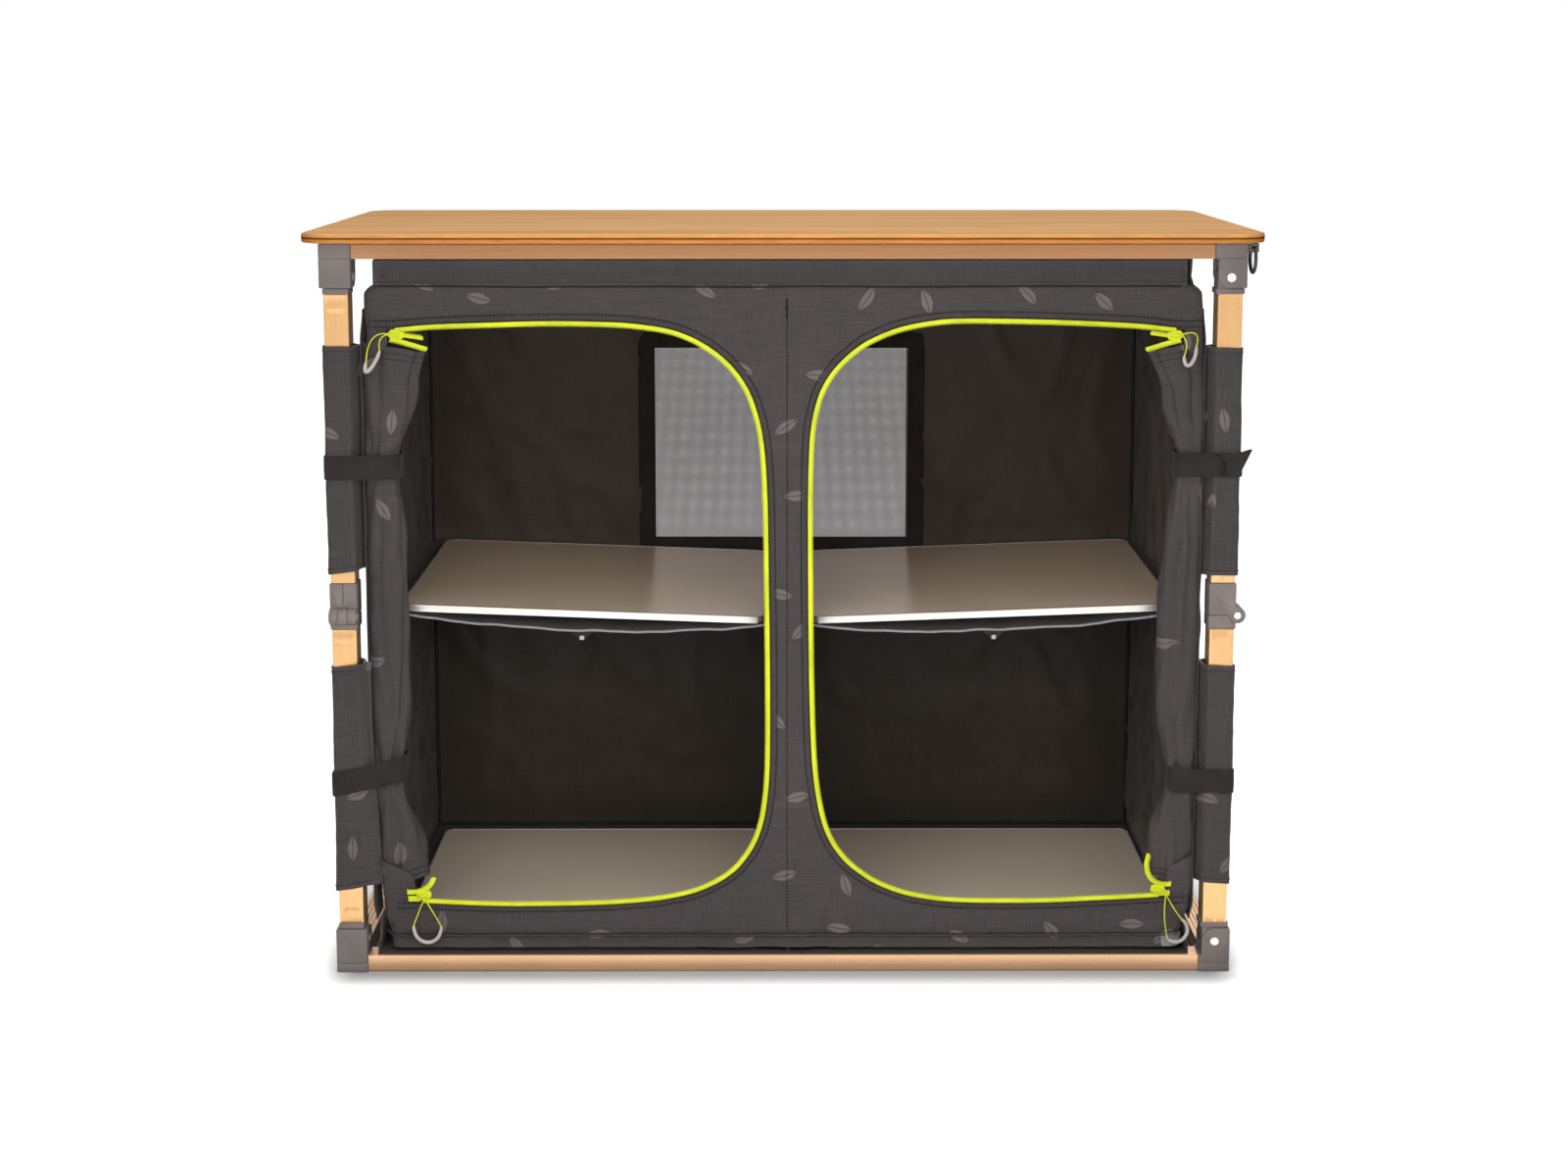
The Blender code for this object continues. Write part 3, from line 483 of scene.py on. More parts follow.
# Lacquered bamboo: long strips with a fine grain, or the layers seen on the board's edge.
def bambooFinish(name, edge):
    material, tree, shader, place = startMaterial(name, Coat_Roughness=0.35, Specular_IOR_Level=0.0)
    parts = put(tree, "ShaderNodeSeparateXYZ", {0: place}).outputs
    strip = calc(tree, "FLOOR", calc(tree, "DIVIDE", parts[1], 0.019))
    block = calc(tree, "FLOOR", calc(tree, "MULTIPLY_ADD", strip, 0.377, calc(tree, "DIVIDE", parts[0], 1.1)))
    chance = put(tree, "ShaderNodeTexWhiteNoise", {"Vector": put(tree, "ShaderNodeCombineXYZ", {0: strip, 1: block})
                                                   .outputs[0]}, noise_dimensions="2D").outputs[0]
    streak = fineNoise(tree, place, 3.0, 5, (1, 70, 70), 0.3)
    fibre = fineNoise(tree, place, 12.0, 3, (1, 160, 160))
    cloud = fineNoise(tree, place, 4.0, 3, (1, 3, 3))
    tone = calc(tree, "MULTIPLY_ADD", chance, 0.20, calc(tree, "MULTIPLY_ADD", streak, 0.55,
                calc(tree, "MULTIPLY_ADD", cloud, 0.35, -0.12)))
    colour = ramp(tree, tone, [(0.15, (0.55, 0.275, 0.105)), (0.45, (0.74, 0.415, 0.185)), (0.8, (0.86, 0.525, 0.262))])
    if edge:
        level = put(tree, "ShaderNodeMapRange", {0: parts[2], 1: 0.780, 2: 0.790}).outputs[0]
        layers = ramp(tree, level, [(0.0, (0.17, 0.06, 0.015)), (0.14, (0.60, 0.25, 0.06)), (0.40, (0.50, 0.19, 0.045)),
                                    (0.46, (0.13, 0.045, 0.012)), (0.58, (0.16, 0.055, 0.015)),
                                    (0.64, (0.62, 0.27, 0.07)), (0.92, (0.72, 0.36, 0.12))])
        dark = calc(tree, "MULTIPLY_ADD", fineNoise(tree, place, 25, 3, (1, 1, 10)), 0.7, 0.62)
        colour = blendColour(tree, 1.0, layers, put(tree, "ShaderNodeCombineXYZ", {0: dark, 1: dark, 2: dark})
                             .outputs[0], "MULTIPLY")
    tree.links.new(colour, shader.inputs["Base Color"])
    tree.links.new(calc(tree, "MULTIPLY_ADD", fibre, 0.16, 0.34 if not edge else 0.45), shader.inputs["Roughness"])
    shader.inputs["Coat Weight"].default_value = 0.0 if edge else 0.015
    bumpFrom(tree, shader, calc(tree, "ADD", fibre, streak), 0.12, 0.0006)
    return material


# Anodised tube: drawn lines along it, soft clouding, and paler rubbed corners.
def tubeFinish(name, colour, streakAxis, roughness=0.30, metallic=0.75):
    material, tree, shader, place = startMaterial(name, Metallic=metallic)
    stretch = {"X": (1, 90, 90), "Y": (90, 1, 90), "Z": (90, 90, 1)}[streakAxis]
    drawn = fineNoise(tree, place, 8, 3, stretch)
    edges = put(tree, "ShaderNodeNewGeometry").outputs["Pointiness"]
    use = placeGroup(tree, "handling", {"Vector": place, "Edges": edges, "Cloud Scale": 6.0, "Grain Scale": 1400.0})
    tint = calc(tree, "MULTIPLY_ADD", drawn, 0.16, calc(tree, "MULTIPLY_ADD", use["Cloud"], 0.22, 0.81))
    scaled = put(tree, "ShaderNodeVectorMath", {0: colour, 1: put(tree, "ShaderNodeCombineXYZ", {0: tint, 1: tint, 2: tint})
                                                .outputs[0]}, operation="MULTIPLY").outputs[0]
    pale = tuple(min(1.0, c * 1.15 + 0.06) for c in colour)
    tree.links.new(blendColour(tree, calc(tree, "MULTIPLY", use["Rub"], 0.8), scaled, pale), shader.inputs["Base Color"])
    rough = calc(tree, "MULTIPLY_ADD", use["Grain"], 0.14, calc(tree, "MULTIPLY_ADD", drawn, 0.12, roughness - 0.13))
    tree.links.new(rough, shader.inputs["Roughness"])
    bumpFrom(tree, shader, calc(tree, "ADD", drawn, use["Grain"]), 0.10, 0.0002)
    return material


# Moulded plastic with a spark texture, a little clouding and scuffed edges.
def mouldingFinish(name, colour, roughness=0.5, grain=1500.0, depth=0.25, rub=0.5):
    material, tree, shader, place = startMaterial(name, Specular_IOR_Level=0.30)
    edges = put(tree, "ShaderNodeNewGeometry").outputs["Pointiness"]
    use = placeGroup(tree, "handling", {"Vector": place, "Edges": edges, "Cloud Scale": 22.0, "Grain Scale": grain})
    darker = tuple(c * 0.80 for c in colour)
    lighter = tuple(min(1.0, c * 1.15) for c in colour)
    tone = ramp(tree, use["Cloud"], [(0.3, darker), (0.7, lighter)])
    worn = tuple(min(1.0, c * 1.5 + 0.03) for c in colour)
    tree.links.new(blendColour(tree, calc(tree, "MULTIPLY", use["Rub"], rub), tone, worn), shader.inputs["Base Color"])
    tree.links.new(calc(tree, "MULTIPLY_ADD", use["Grain"], 0.2, roughness - 0.1), shader.inputs["Roughness"])
    bumpFrom(tree, shader, use["Grain"], depth, 0.0002)
    return material


# Coated polyester: weave, uneven yarn, clouded coating, and a faint tonal print where asked.
def clothFinish(name, colour, threads=900.0, leaves=0.0, roughness=0.6, depth=0.5, slub=0.5, flat=False, sheen=0.06):
    material, tree, shader, place = startMaterial(name, Sheen_Weight=sheen, Sheen_Roughness=0.45,
                                                  Specular_IOR_Level=0.16)
    if flat:
        parts = put(tree, "ShaderNodeSeparateXYZ", {0: place}).outputs
        place = put(tree, "ShaderNodeCombineXYZ", {0: parts[0], 2: parts[1]}).outputs[0]
    weave = placeGroup(tree, "weave", {"Vector": place, "Threads": threads, "Slub": slub})
    edges = put(tree, "ShaderNodeNewGeometry").outputs["Pointiness"]
    use = placeGroup(tree, "handling", {"Vector": place, "Edges": edges, "Cloud Scale": 7.0, "Grain Scale": 500.0})
    tone = calc(tree, "MULTIPLY_ADD", use["Cloud"], 0.45, calc(tree, "MULTIPLY_ADD", weave["Tone"], 0.5, 0.03))
    darker = tuple(c * 0.70 for c in colour)
    lighter = tuple(c * 1.32 for c in colour)
    surface = ramp(tree, tone, [(0.25, darker), (0.75, lighter)])
    # The weave's low cells are darkened towards 0.45 of the colour: painted shade in the weave's dips, over the yarn's
    # own uneven tone.
    surface = blendColour(tree, calc(tree, "MULTIPLY_ADD", weave["Height"], -1.10, 0.92), surface,
                          tuple(c * 0.45 for c in colour))
    if leaves:
        leafPrint = placeGroup(tree, "leaves", {"Vector": place})
        worn = calc(tree, "MULTIPLY_ADD", use["Cloud"], 0.6, 0.35)
        surface = blendColour(tree, calc(tree, "MULTIPLY", calc(tree, "MULTIPLY", leafPrint["Mask"], leaves), worn), surface,
                              tuple(min(1, c * 2.6 + 0.02) for c in colour))
    surface = blendColour(tree, calc(tree, "MULTIPLY", use["Rub"], 0.35), surface, tuple(c * 1.8 for c in colour))
    tree.links.new(surface, shader.inputs["Base Color"])
    tree.links.new(calc(tree, "MULTIPLY_ADD", use["Cloud"], 0.16, roughness - 0.08), shader.inputs["Roughness"])
    bumpFrom(tree, shader, calc(tree, "MULTIPLY_ADD", use["Grain"], 0.4, weave["Height"]), depth, 0.00025)
    return material


# Window net: threads with open holes between them.
def netFinish():
    material, tree, shader, place = startMaterial("windowNet", Roughness=0.75, Specular_IOR_Level=0.2)
    parts = put(tree, "ShaderNodeSeparateXYZ", {0: place}).outputs
    threads = []
    for part in (parts[0], parts[2]):
        wave = calc(tree, "ABSOLUTE", calc(tree, "SINE", calc(tree, "MULTIPLY", part, math.pi / 0.0013)))
        threads.append(put(tree, "ShaderNodeMapRange", {0: wave, 1: 0.70, 2: 0.80, 3: 1.0, 4: 0.0}).outputs[0])
    cover = calc(tree, "MAXIMUM", threads[0], threads[1])
    tree.links.new(calc(tree, "MULTIPLY_ADD", cover, 0.80, 0.12), shader.inputs["Alpha"])
    cloud = fineNoise(tree, place, 14, 3)
    tree.links.new(ramp(tree, cloud, [(0.3, (0.108, 0.084, 0.090)), (0.7, (0.152, 0.122, 0.130))]),
                   shader.inputs["Base Color"])
    bumpFrom(tree, shader, cover, 0.3, 0.0002)
    return material


# Woven tape: ribs across and a fine weave between them.
def webbingFinish():
    material, tree, shader, place = startMaterial("webbing", Specular_IOR_Level=0.12, Sheen_Weight=0.05)
    parts = put(tree, "ShaderNodeSeparateXYZ", {0: place}).outputs
    across = calc(tree, "ADD", parts[0], parts[1])
    rib = calc(tree, "SINE", calc(tree, "MULTIPLY", across, 2 * math.pi / 0.0016))
    row = calc(tree, "SINE", calc(tree, "MULTIPLY", parts[2], 2 * math.pi / 0.0021))
    height = calc(tree, "MULTIPLY_ADD", calc(tree, "MULTIPLY", rib, row), 0.5, 0.5)
    cloud = fineNoise(tree, place, 60, 3)
    # The raised ribs are painted lighter and the dips darker: painted light and shade on the weave's relief, with
    # cloudy tone on top.
    tone = calc(tree, "MULTIPLY_ADD", height, 0.45, calc(tree, "MULTIPLY", cloud, 0.6))
    tree.links.new(ramp(tree, tone, [(0.2, (0.0080, 0.0068, 0.0062)), (0.8, (0.032, 0.0275, 0.0255))]),
                   shader.inputs["Base Color"])
    tree.links.new(calc(tree, "MULTIPLY_ADD", cloud, 0.2, 0.6), shader.inputs["Roughness"])
    bumpFrom(tree, shader, height, 0.6, 0.0004)
    return material


# Board skin: a pale bronze foil with a fine grain and soft clouding.
def shelfFinish(name, dark, pale):
    material, tree, shader, place = startMaterial(name, Metallic=0.22, Specular_IOR_Level=0.5)
    grain = fineNoise(tree, place, 1300, 2)
    brushed = fineNoise(tree, place, 14, 3, (1, 90, 1))
    cloud = fineNoise(tree, place, 4, 4)
    fine = calc(tree, "MULTIPLY_ADD", brushed, 0.18, calc(tree, "MULTIPLY", grain, 0.25))
    mixed = calc(tree, "MULTIPLY_ADD", cloud, 0.55, fine)
    tree.links.new(ramp(tree, mixed, [(0.25, dark), (0.75, pale)]),
                   shader.inputs["Base Color"])
    tree.links.new(calc(tree, "MULTIPLY_ADD", cloud, 0.08, calc(tree, "MULTIPLY_ADD", grain, 0.05, 0.13)),
                   shader.inputs["Roughness"])
    bumpFrom(tree, shader, grain, 0.08, 0.0001)
    return material


finishes = {
    "bamboo": bambooFinish("bambooFace", False), "bambooEdge": bambooFinish("bambooEdge", True),
    "tubeUp": tubeFinish("bronzeTubeUpright", (0.68, 0.40, 0.178), "Z"),
    "tubeAcross": tubeFinish("bronzeTubeAcross", (0.66, 0.40, 0.225), "X"),
    # The head rails' tube is a darker copy of the same bronze: painted shade under the table top.
    "tubePaintedShade": tubeFinish("bronzeTubePaintedShade", (0.38, 0.19, 0.088), "X"),
    "tubeDeep": tubeFinish("bronzeTubeDeep", (0.56, 0.33, 0.16), "Y"),
    "moulding": mouldingFinish("greyMoulding", (0.150, 0.127, 0.115), 0.48),
    "grip": mouldingFinish("greyGrip", (0.40, 0.375, 0.345), 0.36, grain=700.0, depth=0.06, rub=0.2),
    "lime": mouldingFinish("limeZip", (0.56, 0.61, 0.013), 0.50, grain=1100.0, depth=0.25, rub=0.2),
    "limeTape": clothFinish("limeTape", (0.52, 0.62, 0.012), threads=1100.0, slub=0.25, sheen=0.0),
    "outer": clothFinish("outerCloth", (0.055, 0.048, 0.0465), threads=460.0, leaves=0.90, roughness=0.52, depth=0.7,
                          slub=0.9),
    "outerPlain": clothFinish("outerClothPlain", (0.046, 0.0405, 0.0390), threads=460.0, roughness=0.54, depth=0.7,
                               slub=0.9),
    "inner": clothFinish("innerCloth", (0.056, 0.045, 0.0375), threads=560.0, roughness=0.42, slub=0.35),
    "floorCloth": clothFinish("floorCloth", (0.048, 0.039, 0.033), threads=800.0, roughness=0.52, flat=True),
    "tape": clothFinish("darkTape", (0.026, 0.023, 0.022), threads=1000.0, roughness=0.6, sheen=0.05),
    "binding": clothFinish("paleBinding", (0.26, 0.26, 0.27), threads=1000.0, roughness=0.6, sheen=0.05),
    "patch": clothFinish("palePatch", (0.22, 0.22, 0.23), threads=1000.0, roughness=0.5, sheen=0.05),
    "thread": mouldingFinish("darkThread", (0.006, 0.0055, 0.005), 0.8, grain=2500.0, rub=0.0),
    "net": netFinish(), "webbing": webbingFinish(),
    # The base board skin is a paler copy of the shelf skin: painted light, for the stronger low light on the base
    # boards.
    "shelf": shelfFinish("shelfSkin", (0.64, 0.510, 0.380), (0.76, 0.615, 0.465)),
    "baseBoard": shelfFinish("baseBoardSkinPaintedLight", (0.80, 0.675, 0.530), (0.90, 0.765, 0.610)),
    "edging": tubeFinish("shelfEdging", (0.70, 0.67, 0.63), "X", roughness=0.34, metallic=0.75),
    "rivet": tubeFinish("rivetSteel", (0.80, 0.79, 0.77), "Z", roughness=0.28),
    "black": tubeFinish("blackNickel", (0.055, 0.050, 0.048), "Z", roughness=0.28),
}
print("finishes made:", len(finishes))


view = {"focal": 2393.998, "centreRow": 419.29, "place": (-0.00668, -2.64151, 0.9404), "pitch": 0.13769,
        "yaw": 0.00309}


# The camera of the photograph, for a 1600 by 1200 image.
def addCamera():
    data = bpy.data.cameras.new("camera")
    data.sensor_width = 36.0
    data.lens = view["focal"] / 1600 * 36.0
    data.shift_y = (view["centreRow"] - 600) / 1600
    data.clip_end = 60
    pitch, yaw = view["pitch"], view["yaw"]
    ahead = Vector((math.sin(yaw) * math.cos(pitch), math.cos(yaw) * math.cos(pitch), -math.sin(pitch)))
    right = Vector((math.cos(yaw), -math.sin(yaw), 0))
    up = right.cross(ahead)
    camera = bpy.data.objects.new("camera", data)
    camera.matrix_world = Matrix(((right.x, up.x, -ahead.x, view["place"][0]),
                                  (right.y, up.y, -ahead.y, view["place"][1]),
                                  (right.z, up.z, -ahead.z, view["place"][2]), (0, 0, 0, 1)))
    bpy.context.scene.collection.objects.link(camera)
    bpy.context.scene.camera = camera


studio = {"ambient": 0.14, "floorLift": 0.0, "shadeBox": (0.452, 0.234), "shadeReach": 0.075,
          "lamps": (("frontLamp", (-0.20, -1.70, 1.50), (0, 0, 0.30), (1.1, 0.7), 8.5, False),
                    ("keyLamp", (-1.7, -2.3, 2.3), (0, 0, 0.45), (1.8, 1.8), 12.5, True),
                    ("fillLamp", (1.9, -2.2, 1.7), (0, 0, 0.4), (2.2, 2.2), 8.5, True),
                    ("topLamp", (0.25, -0.2, 3.0), (0.1, 0, 0.5), (2.0, 2.0), 30, False),
                    ("lowLamp", (0.0, -1.05, 0.60), (0, -0.10, 0.0), (1.2, 0.25), 7.5, False),
                    ("backLamp", (0.3, 2.6, 2.0), (0, 0, 0.5), (1.8, 1.8), 16, True))}


# Soft studio light, a pale floor with a painted contact shadow round the frame, and a white world for the camera, gloss
# and glass.
def addStudio():
    scene = bpy.context.scene
    scene.view_settings.view_transform = "Standard"
    world = bpy.data.worlds.new("studio")
    scene.world = world
    world.use_nodes = True
    tree = world.node_tree
    tree.nodes.clear()
    seen = put(tree, "ShaderNodeLightPath").outputs
    white = calc(tree, "MAXIMUM", calc(tree, "MAXIMUM", seen["Is Camera Ray"], seen["Is Glossy Ray"]),
                 seen["Is Transmission Ray"])
    level = calc(tree, "MULTIPLY_ADD", white, 1.0 - studio["ambient"], studio["ambient"])
    glow = put(tree, "ShaderNodeBackground", {"Color": (1, 1, 1, 1), "Strength": level})
    end = put(tree, "ShaderNodeOutputWorld")
    tree.links.new(glow.outputs[0], end.inputs[0])
    for name, place, aim, size, power, glossy in studio["lamps"]:
        data = bpy.data.lights.new(name, "AREA")
        data.shape, data.size, data.size_y, data.energy = "RECTANGLE", size[0], size[1], power
        lamp = bpy.data.objects.new(name, data)
        lamp.location = place
        lamp.rotation_euler = (Vector(aim) - Vector(place)).to_track_quat("-Z", "Y").to_euler()
        lamp.visible_camera, lamp.visible_glossy = False, glossy
        scene.collection.objects.link(lamp)
    material, tree, shader, place = startMaterial("paleFloorPaintedShadow", Roughness=0.85, Specular_IOR_Level=0.1)
    seen = put(tree, "ShaderNodeLightPath").outputs
    white = calc(tree, "MAXIMUM", calc(tree, "MAXIMUM", seen["Is Camera Ray"], seen["Is Glossy Ray"]),
                 seen["Is Transmission Ray"])
    shader.inputs["Emission Color"].default_value = (1, 1, 1, 1)
    parts = put(tree, "ShaderNodeSeparateXYZ", {0: place}).outputs
    sides = [calc(tree, "POWER", calc(tree, "MAXIMUM", calc(tree, "SUBTRACT", calc(tree, "ABSOLUTE", part), limit), 0.0), 2.0)
             for part, limit in zip(parts, studio["shadeBox"])]
    away = calc(tree, "SQRT", calc(tree, "ADD", sides[0], sides[1]))
    lift = put(tree, "ShaderNodeMapRange", {0: away, 1: 0.0, 2: studio["shadeReach"], 3: studio["floorLift"], 4: 1.0},
               interpolation_type="SMOOTHSTEP").outputs[0]
    tree.links.new(calc(tree, "MULTIPLY", white, lift), shader.inputs["Emission Strength"])
    # The floor's base colour darkens towards the frame: a painted contact shadow. Its glow for camera, gloss and glass
    # rays fades there too.
    shade = calc(tree, "MULTIPLY_ADD", fineNoise(tree, place, 6, 3), 0.05, calc(tree, "MULTIPLY_ADD", lift, 0.40, 0.38))
    tree.links.new(ramp(tree, shade, [(0.0, (0, 0, 0)), (1.0, (1, 1, 1))]), shader.inputs["Base Color"])
    size = 14.0
    floor = newPiece("studioFloor", [(-size, -size, 0), (size, -size, 0), (size, size, 0), (-size, size, 0)],
                     [(0, 1, 2, 3)], material, smooth=False)
    floor.location.z = -0.0003


addCamera()
addStudio()
print("camera and studio stand")


tableTop = {"half": (0.5, 0.2375), "low": 0.780, "high": 0.790, "corner": 0.035, "edge": 0.0017}


def addTableTop():
    low, high, r = tableTop["low"], tableTop["high"], tableTop["edge"]
    profile = [(4 * r, low), (r, low), (0.3 * r, low + 0.3 * r), (0, low + r), (0, high - r),
               (0.3 * r, high - 0.3 * r), (r, high), (4 * r, high)]
    top = slab("tableBoard", (0, 0), tableTop["half"], tableTop["corner"], profile, finishes["bamboo"], steps=14)
    top.data.materials.append(finishes["bambooEdge"])
    for face in top.data.polygons:
        if abs(face.normal.z) < 0.8:
            face.material_index = 1
    finishPiece(top, "top_frame", ["table_top"])


footRail = {"low": 0.0006, "high": 0.0182, "deep": 0.0250, "grooves": (0.0055, 0.0100, 0.0145, 0.0190)}
headRail = {"low": 0.7639, "high": 0.7797, "deep": 0.0240, "grooves": ()}
railReach = {"x": 0.4444, "y": 0.2012, "outerX": 0.4747, "outerY": 0.2315, "corner": 0.0012}


# One rail: a tube with soft corners, and slots along its upper face where the real one has them.
def railPiece(name, low, high, along, grooves, material):
    across = 1 - along
    width, tall = high[across] - low[across], high[2] - low[2]
    radius = railReach["corner"]
    outline = roundRect(width / 2, tall / 2, radius, 4, centre=(low[across] + width / 2, low[2] + tall / 2))
    if grooves:
        upper = [p for p in outline if p[1] > high[2] - radius - 1e-6]
        lower = [p for p in outline if p[1] <= high[2] - radius - 1e-6]
        right = sorted([p for p in upper if p[0] > low[across] + width / 2], key=lambda p: p[1])
        left = sorted([p for p in upper if p[0] <= low[across] + width / 2], key=lambda p: -p[1])
        slots = []
        for place in sorted(grooves, reverse=True):
            x = low[across] + place
            slots += [(x + 0.0009, high[2]), (x + 0.0007, high[2] - 0.0009), (x - 0.0007, high[2] - 0.0009),
                      (x - 0.0009, high[2])]
        lowRight = sorted([p for p in lower if p[0] > low[across] + width / 2], key=lambda p: (p[1], p[0]))
        lowLeft = sorted([p for p in lower if p[0] <= low[across] + width / 2], key=lambda p: (-p[1], p[0]))
        outline = lowRight + right + slots + left + lowLeft
    rings = []
    for step in range(13):
        place = low[along] + (high[along] - low[along]) * step / 12
        rings.append([(place, a, z) if along == 0 else (a, place, z) for a, z in outline])
    return stack(name, rings, material, sharp=30)


def addRails():
    for label, rail, body in (("foot", footRail, "base"), ("head", headRail, "top_frame")):
        for word, side in (("front", -1), ("back", 1)):
            edges = sorted((side * railReach["outerY"], side * (railReach["outerY"] - rail["deep"])))
            # Head rails take the darker copy of the bronze, as painted shade under the table top.
            made = railPiece(f"{word}{label.title()}Tube", (-railReach["x"], edges[0], rail["low"]),
                             (railReach["x"], edges[1], rail["high"]), 0, rail["grooves"],
                             finishes["tubeAcross" if label == "foot" else "tubePaintedShade"])
            finishPiece(made, body, [f"{word}_{label}_rail"])
        for word, side in (("left", -1), ("right", 1)):
            edges = sorted((side * railReach["outerX"], side * (railReach["outerX"] - rail["deep"])))
            made = railPiece(f"{word}{label.title()}Tube", (edges[0], -railReach["y"], rail["low"]),
                             (edges[1], railReach["y"], rail["high"]), 1, rail["grooves"], finishes["tubeDeep"])
            finishPiece(made, body, [f"{word}_{label}_rail"])


# Puts copies of a piece drawn round the front left corner's pin at all four corners.
def atCorners(drawn, label, level, body, replaced):
    made = {}
    for corner, (side, end, turn) in cornerTurns.items():
        spin = Matrix.Rotation(math.radians(turn), 4, "Z")
        place = Vector((side * legAt["x"], end * legAt["y"], legAt[level]))
        if level == "knee":
            place += spin @ Vector((0, -legAt["offset"], 0))
        mesh = drawn.data.copy()
        mesh.transform(Matrix.Translation(place) @ spin)
        obj = bpy.data.objects.new(corner + "_" + label, mesh)
        bpy.context.scene.collection.objects.link(obj)
        names = [f"{corner}_{r}" for r in replaced]
        finishPiece(obj, body.format(corner), names)
        made[corner] = obj
    bpy.data.objects.remove(drawn, do_unlink=True)
    return made


bracket = {"half": 0.0165, "cheek": 0.0030, "soft": 0.0011, "pin": 0.0030, "rivet": 0.0045, "rivetProud": 0.0012}


# A corner moulding round its pin. free is the open end of its cheeks, root the block that takes the rails.
def cornerMoulding(name, low, high, root, free, step):
    half, inner, soft = bracket["half"], bracket["half"] - bracket["cheek"], bracket["soft"]
    sign = 1 if free > root else -1
    lower = block(name, (-half, -half, low), (half, half, step + 0.0001), soft, finishes["moulding"])
    upper = block(name + "Upper", (-half, -half, step - 0.0001), (half, half, high), soft, finishes["moulding"])
    beyond = free + sign * half
    edges = sorted((root, beyond))
    slotCut = block(name + "Slot", (-inner, -inner, edges[0]), (inner, 2 * half, edges[1]), 0.0008)
    rounding = [(inner, root)]
    for i in range(11):
        angle = math.radians(sign * 9 * i)
        rounding.append((inner * math.cos(angle), free - sign * inner + inner * math.sin(angle)))
    rounding += [(0, beyond), (2 * half, beyond), (2 * half, root)]
    roundCut = stack(name + "Round", [[(x, y, z) for y, z in rounding] for x in (-2 * half, 2 * half)], None)
    body = combine(lower, [upper])
    return combine(body, [slotCut, roundCut], "DIFFERENCE")


# A steel pin with a domed head on both sides.
def rivetedPin(name, half, y=0.0, z=0.0, proud=None, radius=None):
    proud = proud or bracket["rivetProud"]
    radius = radius or bracket["rivet"]
    shaft = barrel(name, bracket["pin"], 0.0003, (-half, y, z), 2 * half, "X", finishes["rivet"], 20)
    heads = []
    for side in (-1, 1):
        profile = [(-0.0002, radius), (proud * 0.35, radius), (proud * 0.7, radius * 0.86),
                   (proud * 0.92, radius * 0.6), (proud, radius * 0.25)]
        profile = [(side * a, r) for a, r in profile]
        heads.append(turned(f"{name}Head{side}", profile, (side * half, y, z), "X", finishes["rivet"], 24))
    return gather(name, [shaft] + heads)


def addBrackets():
    floor = -legAt["foot"]
    foot = cornerMoulding("footMoulding", floor, floor + 0.0475, floor + 0.0182, floor + 0.0475, floor + 0.0094)
    atCorners(foot, "footCorner", "foot", "base", ["foot_bracket"])
    atCorners(rivetedPin("footPin", bracket["half"]), "footPin", "foot", "base", [])
    roof = 0.0347
    head = cornerMoulding("headMoulding", -0.0110, roof, roof - 0.0158, -0.0110, roof - 0.0150)
    made = atCorners(head, "headCorner", "head", "top_frame", ["head_bracket"])
    atCorners(rivetedPin("headPin", bracket["half"]), "headPin", "head", "top_frame", [])
    return made


ring = {"centre": (0.4863, -0.216, 0.7748), "wire": 0.0020, "width": 0.0300, "drop": 0.0260}


# The D ring, and the ear on the right front bracket that it swings in.
def addRing():
    x, y, z = ring["centre"]
    ear = block("ringEar", (0.4768, y - 0.0070, 0.7699), (0.4913, y + 0.0070, 0.7797), 0.0012, finishes["moulding"])
    hole = barrel("earHole", 0.0030, 0.0001, (x, y - 0.02, z), 0.04, "Y", None, 24)
    combine(ear, [hole], "DIFFERENCE")
    finishPiece(ear, "top_frame", [])
    half = ring["width"] / 2
    shoulder = ring["drop"] - half
    points = [(x, y + t * half, z) for t in (0.86, 0.5, 0.0, -0.5, -0.86)]
    for i in range(25):
        angle = math.radians(-180 + 180 * i / 24)
        points.append((x, y + half * math.cos(angle), z - shoulder + half * math.sin(angle)))
    loop = tube("hangingDRing", resample(points, 0.0022, True), ring["wire"], finishes["black"], 12, True)
    finishPiece(loop, "ring", ["hanging_ring"])


leg = {"half": 0.0132, "corner": 0.0026, "link": 0.3557, "crimpWide": 0.0085, "crimpTall": 0.0024,
       "crimpDeep": 0.0010}


# A square tube with soft corners and crimps pressed into its outer and inner faces.
def squareTube(name, low, high, centreY, crimps):
    stations = {low, high, low + 0.0004, high - 0.0004}
    count = 24
    stations |= {low + (high - low) * i / count for i in range(count + 1)}
    for crimp in crimps:
        stations |= {crimp + leg["crimpTall"] * t for t in (-1.3, -1, -0.75, -0.5, -0.25, 0, 0.25, 0.5, 0.75, 1, 1.3)}
    rings = []
    for z in sorted(stations):
        spare = 0.0004 if z in (low, high) else 0.0
        ringPoints = []
        for x, y in roundRect(leg["half"] - spare, leg["half"] - spare, leg["corner"], 4, 12):
            for crimp in crimps:
                near = max(0.0, 1 - abs(z - crimp) / leg["crimpTall"])
                over = smoothStep(leg["crimpWide"] - abs(x), 0, 0.0015)
                if abs(y) > leg["half"] - 0.0005 and near and over:
                    y -= math.copysign(leg["crimpDeep"] * over * smoothStep(near, 0, 1), y)
            ringPoints.append((x, y + centreY, z))
        rings.append(ringPoints)
    return stack(name, rings, finishes["tubeUp"], sharp=45)


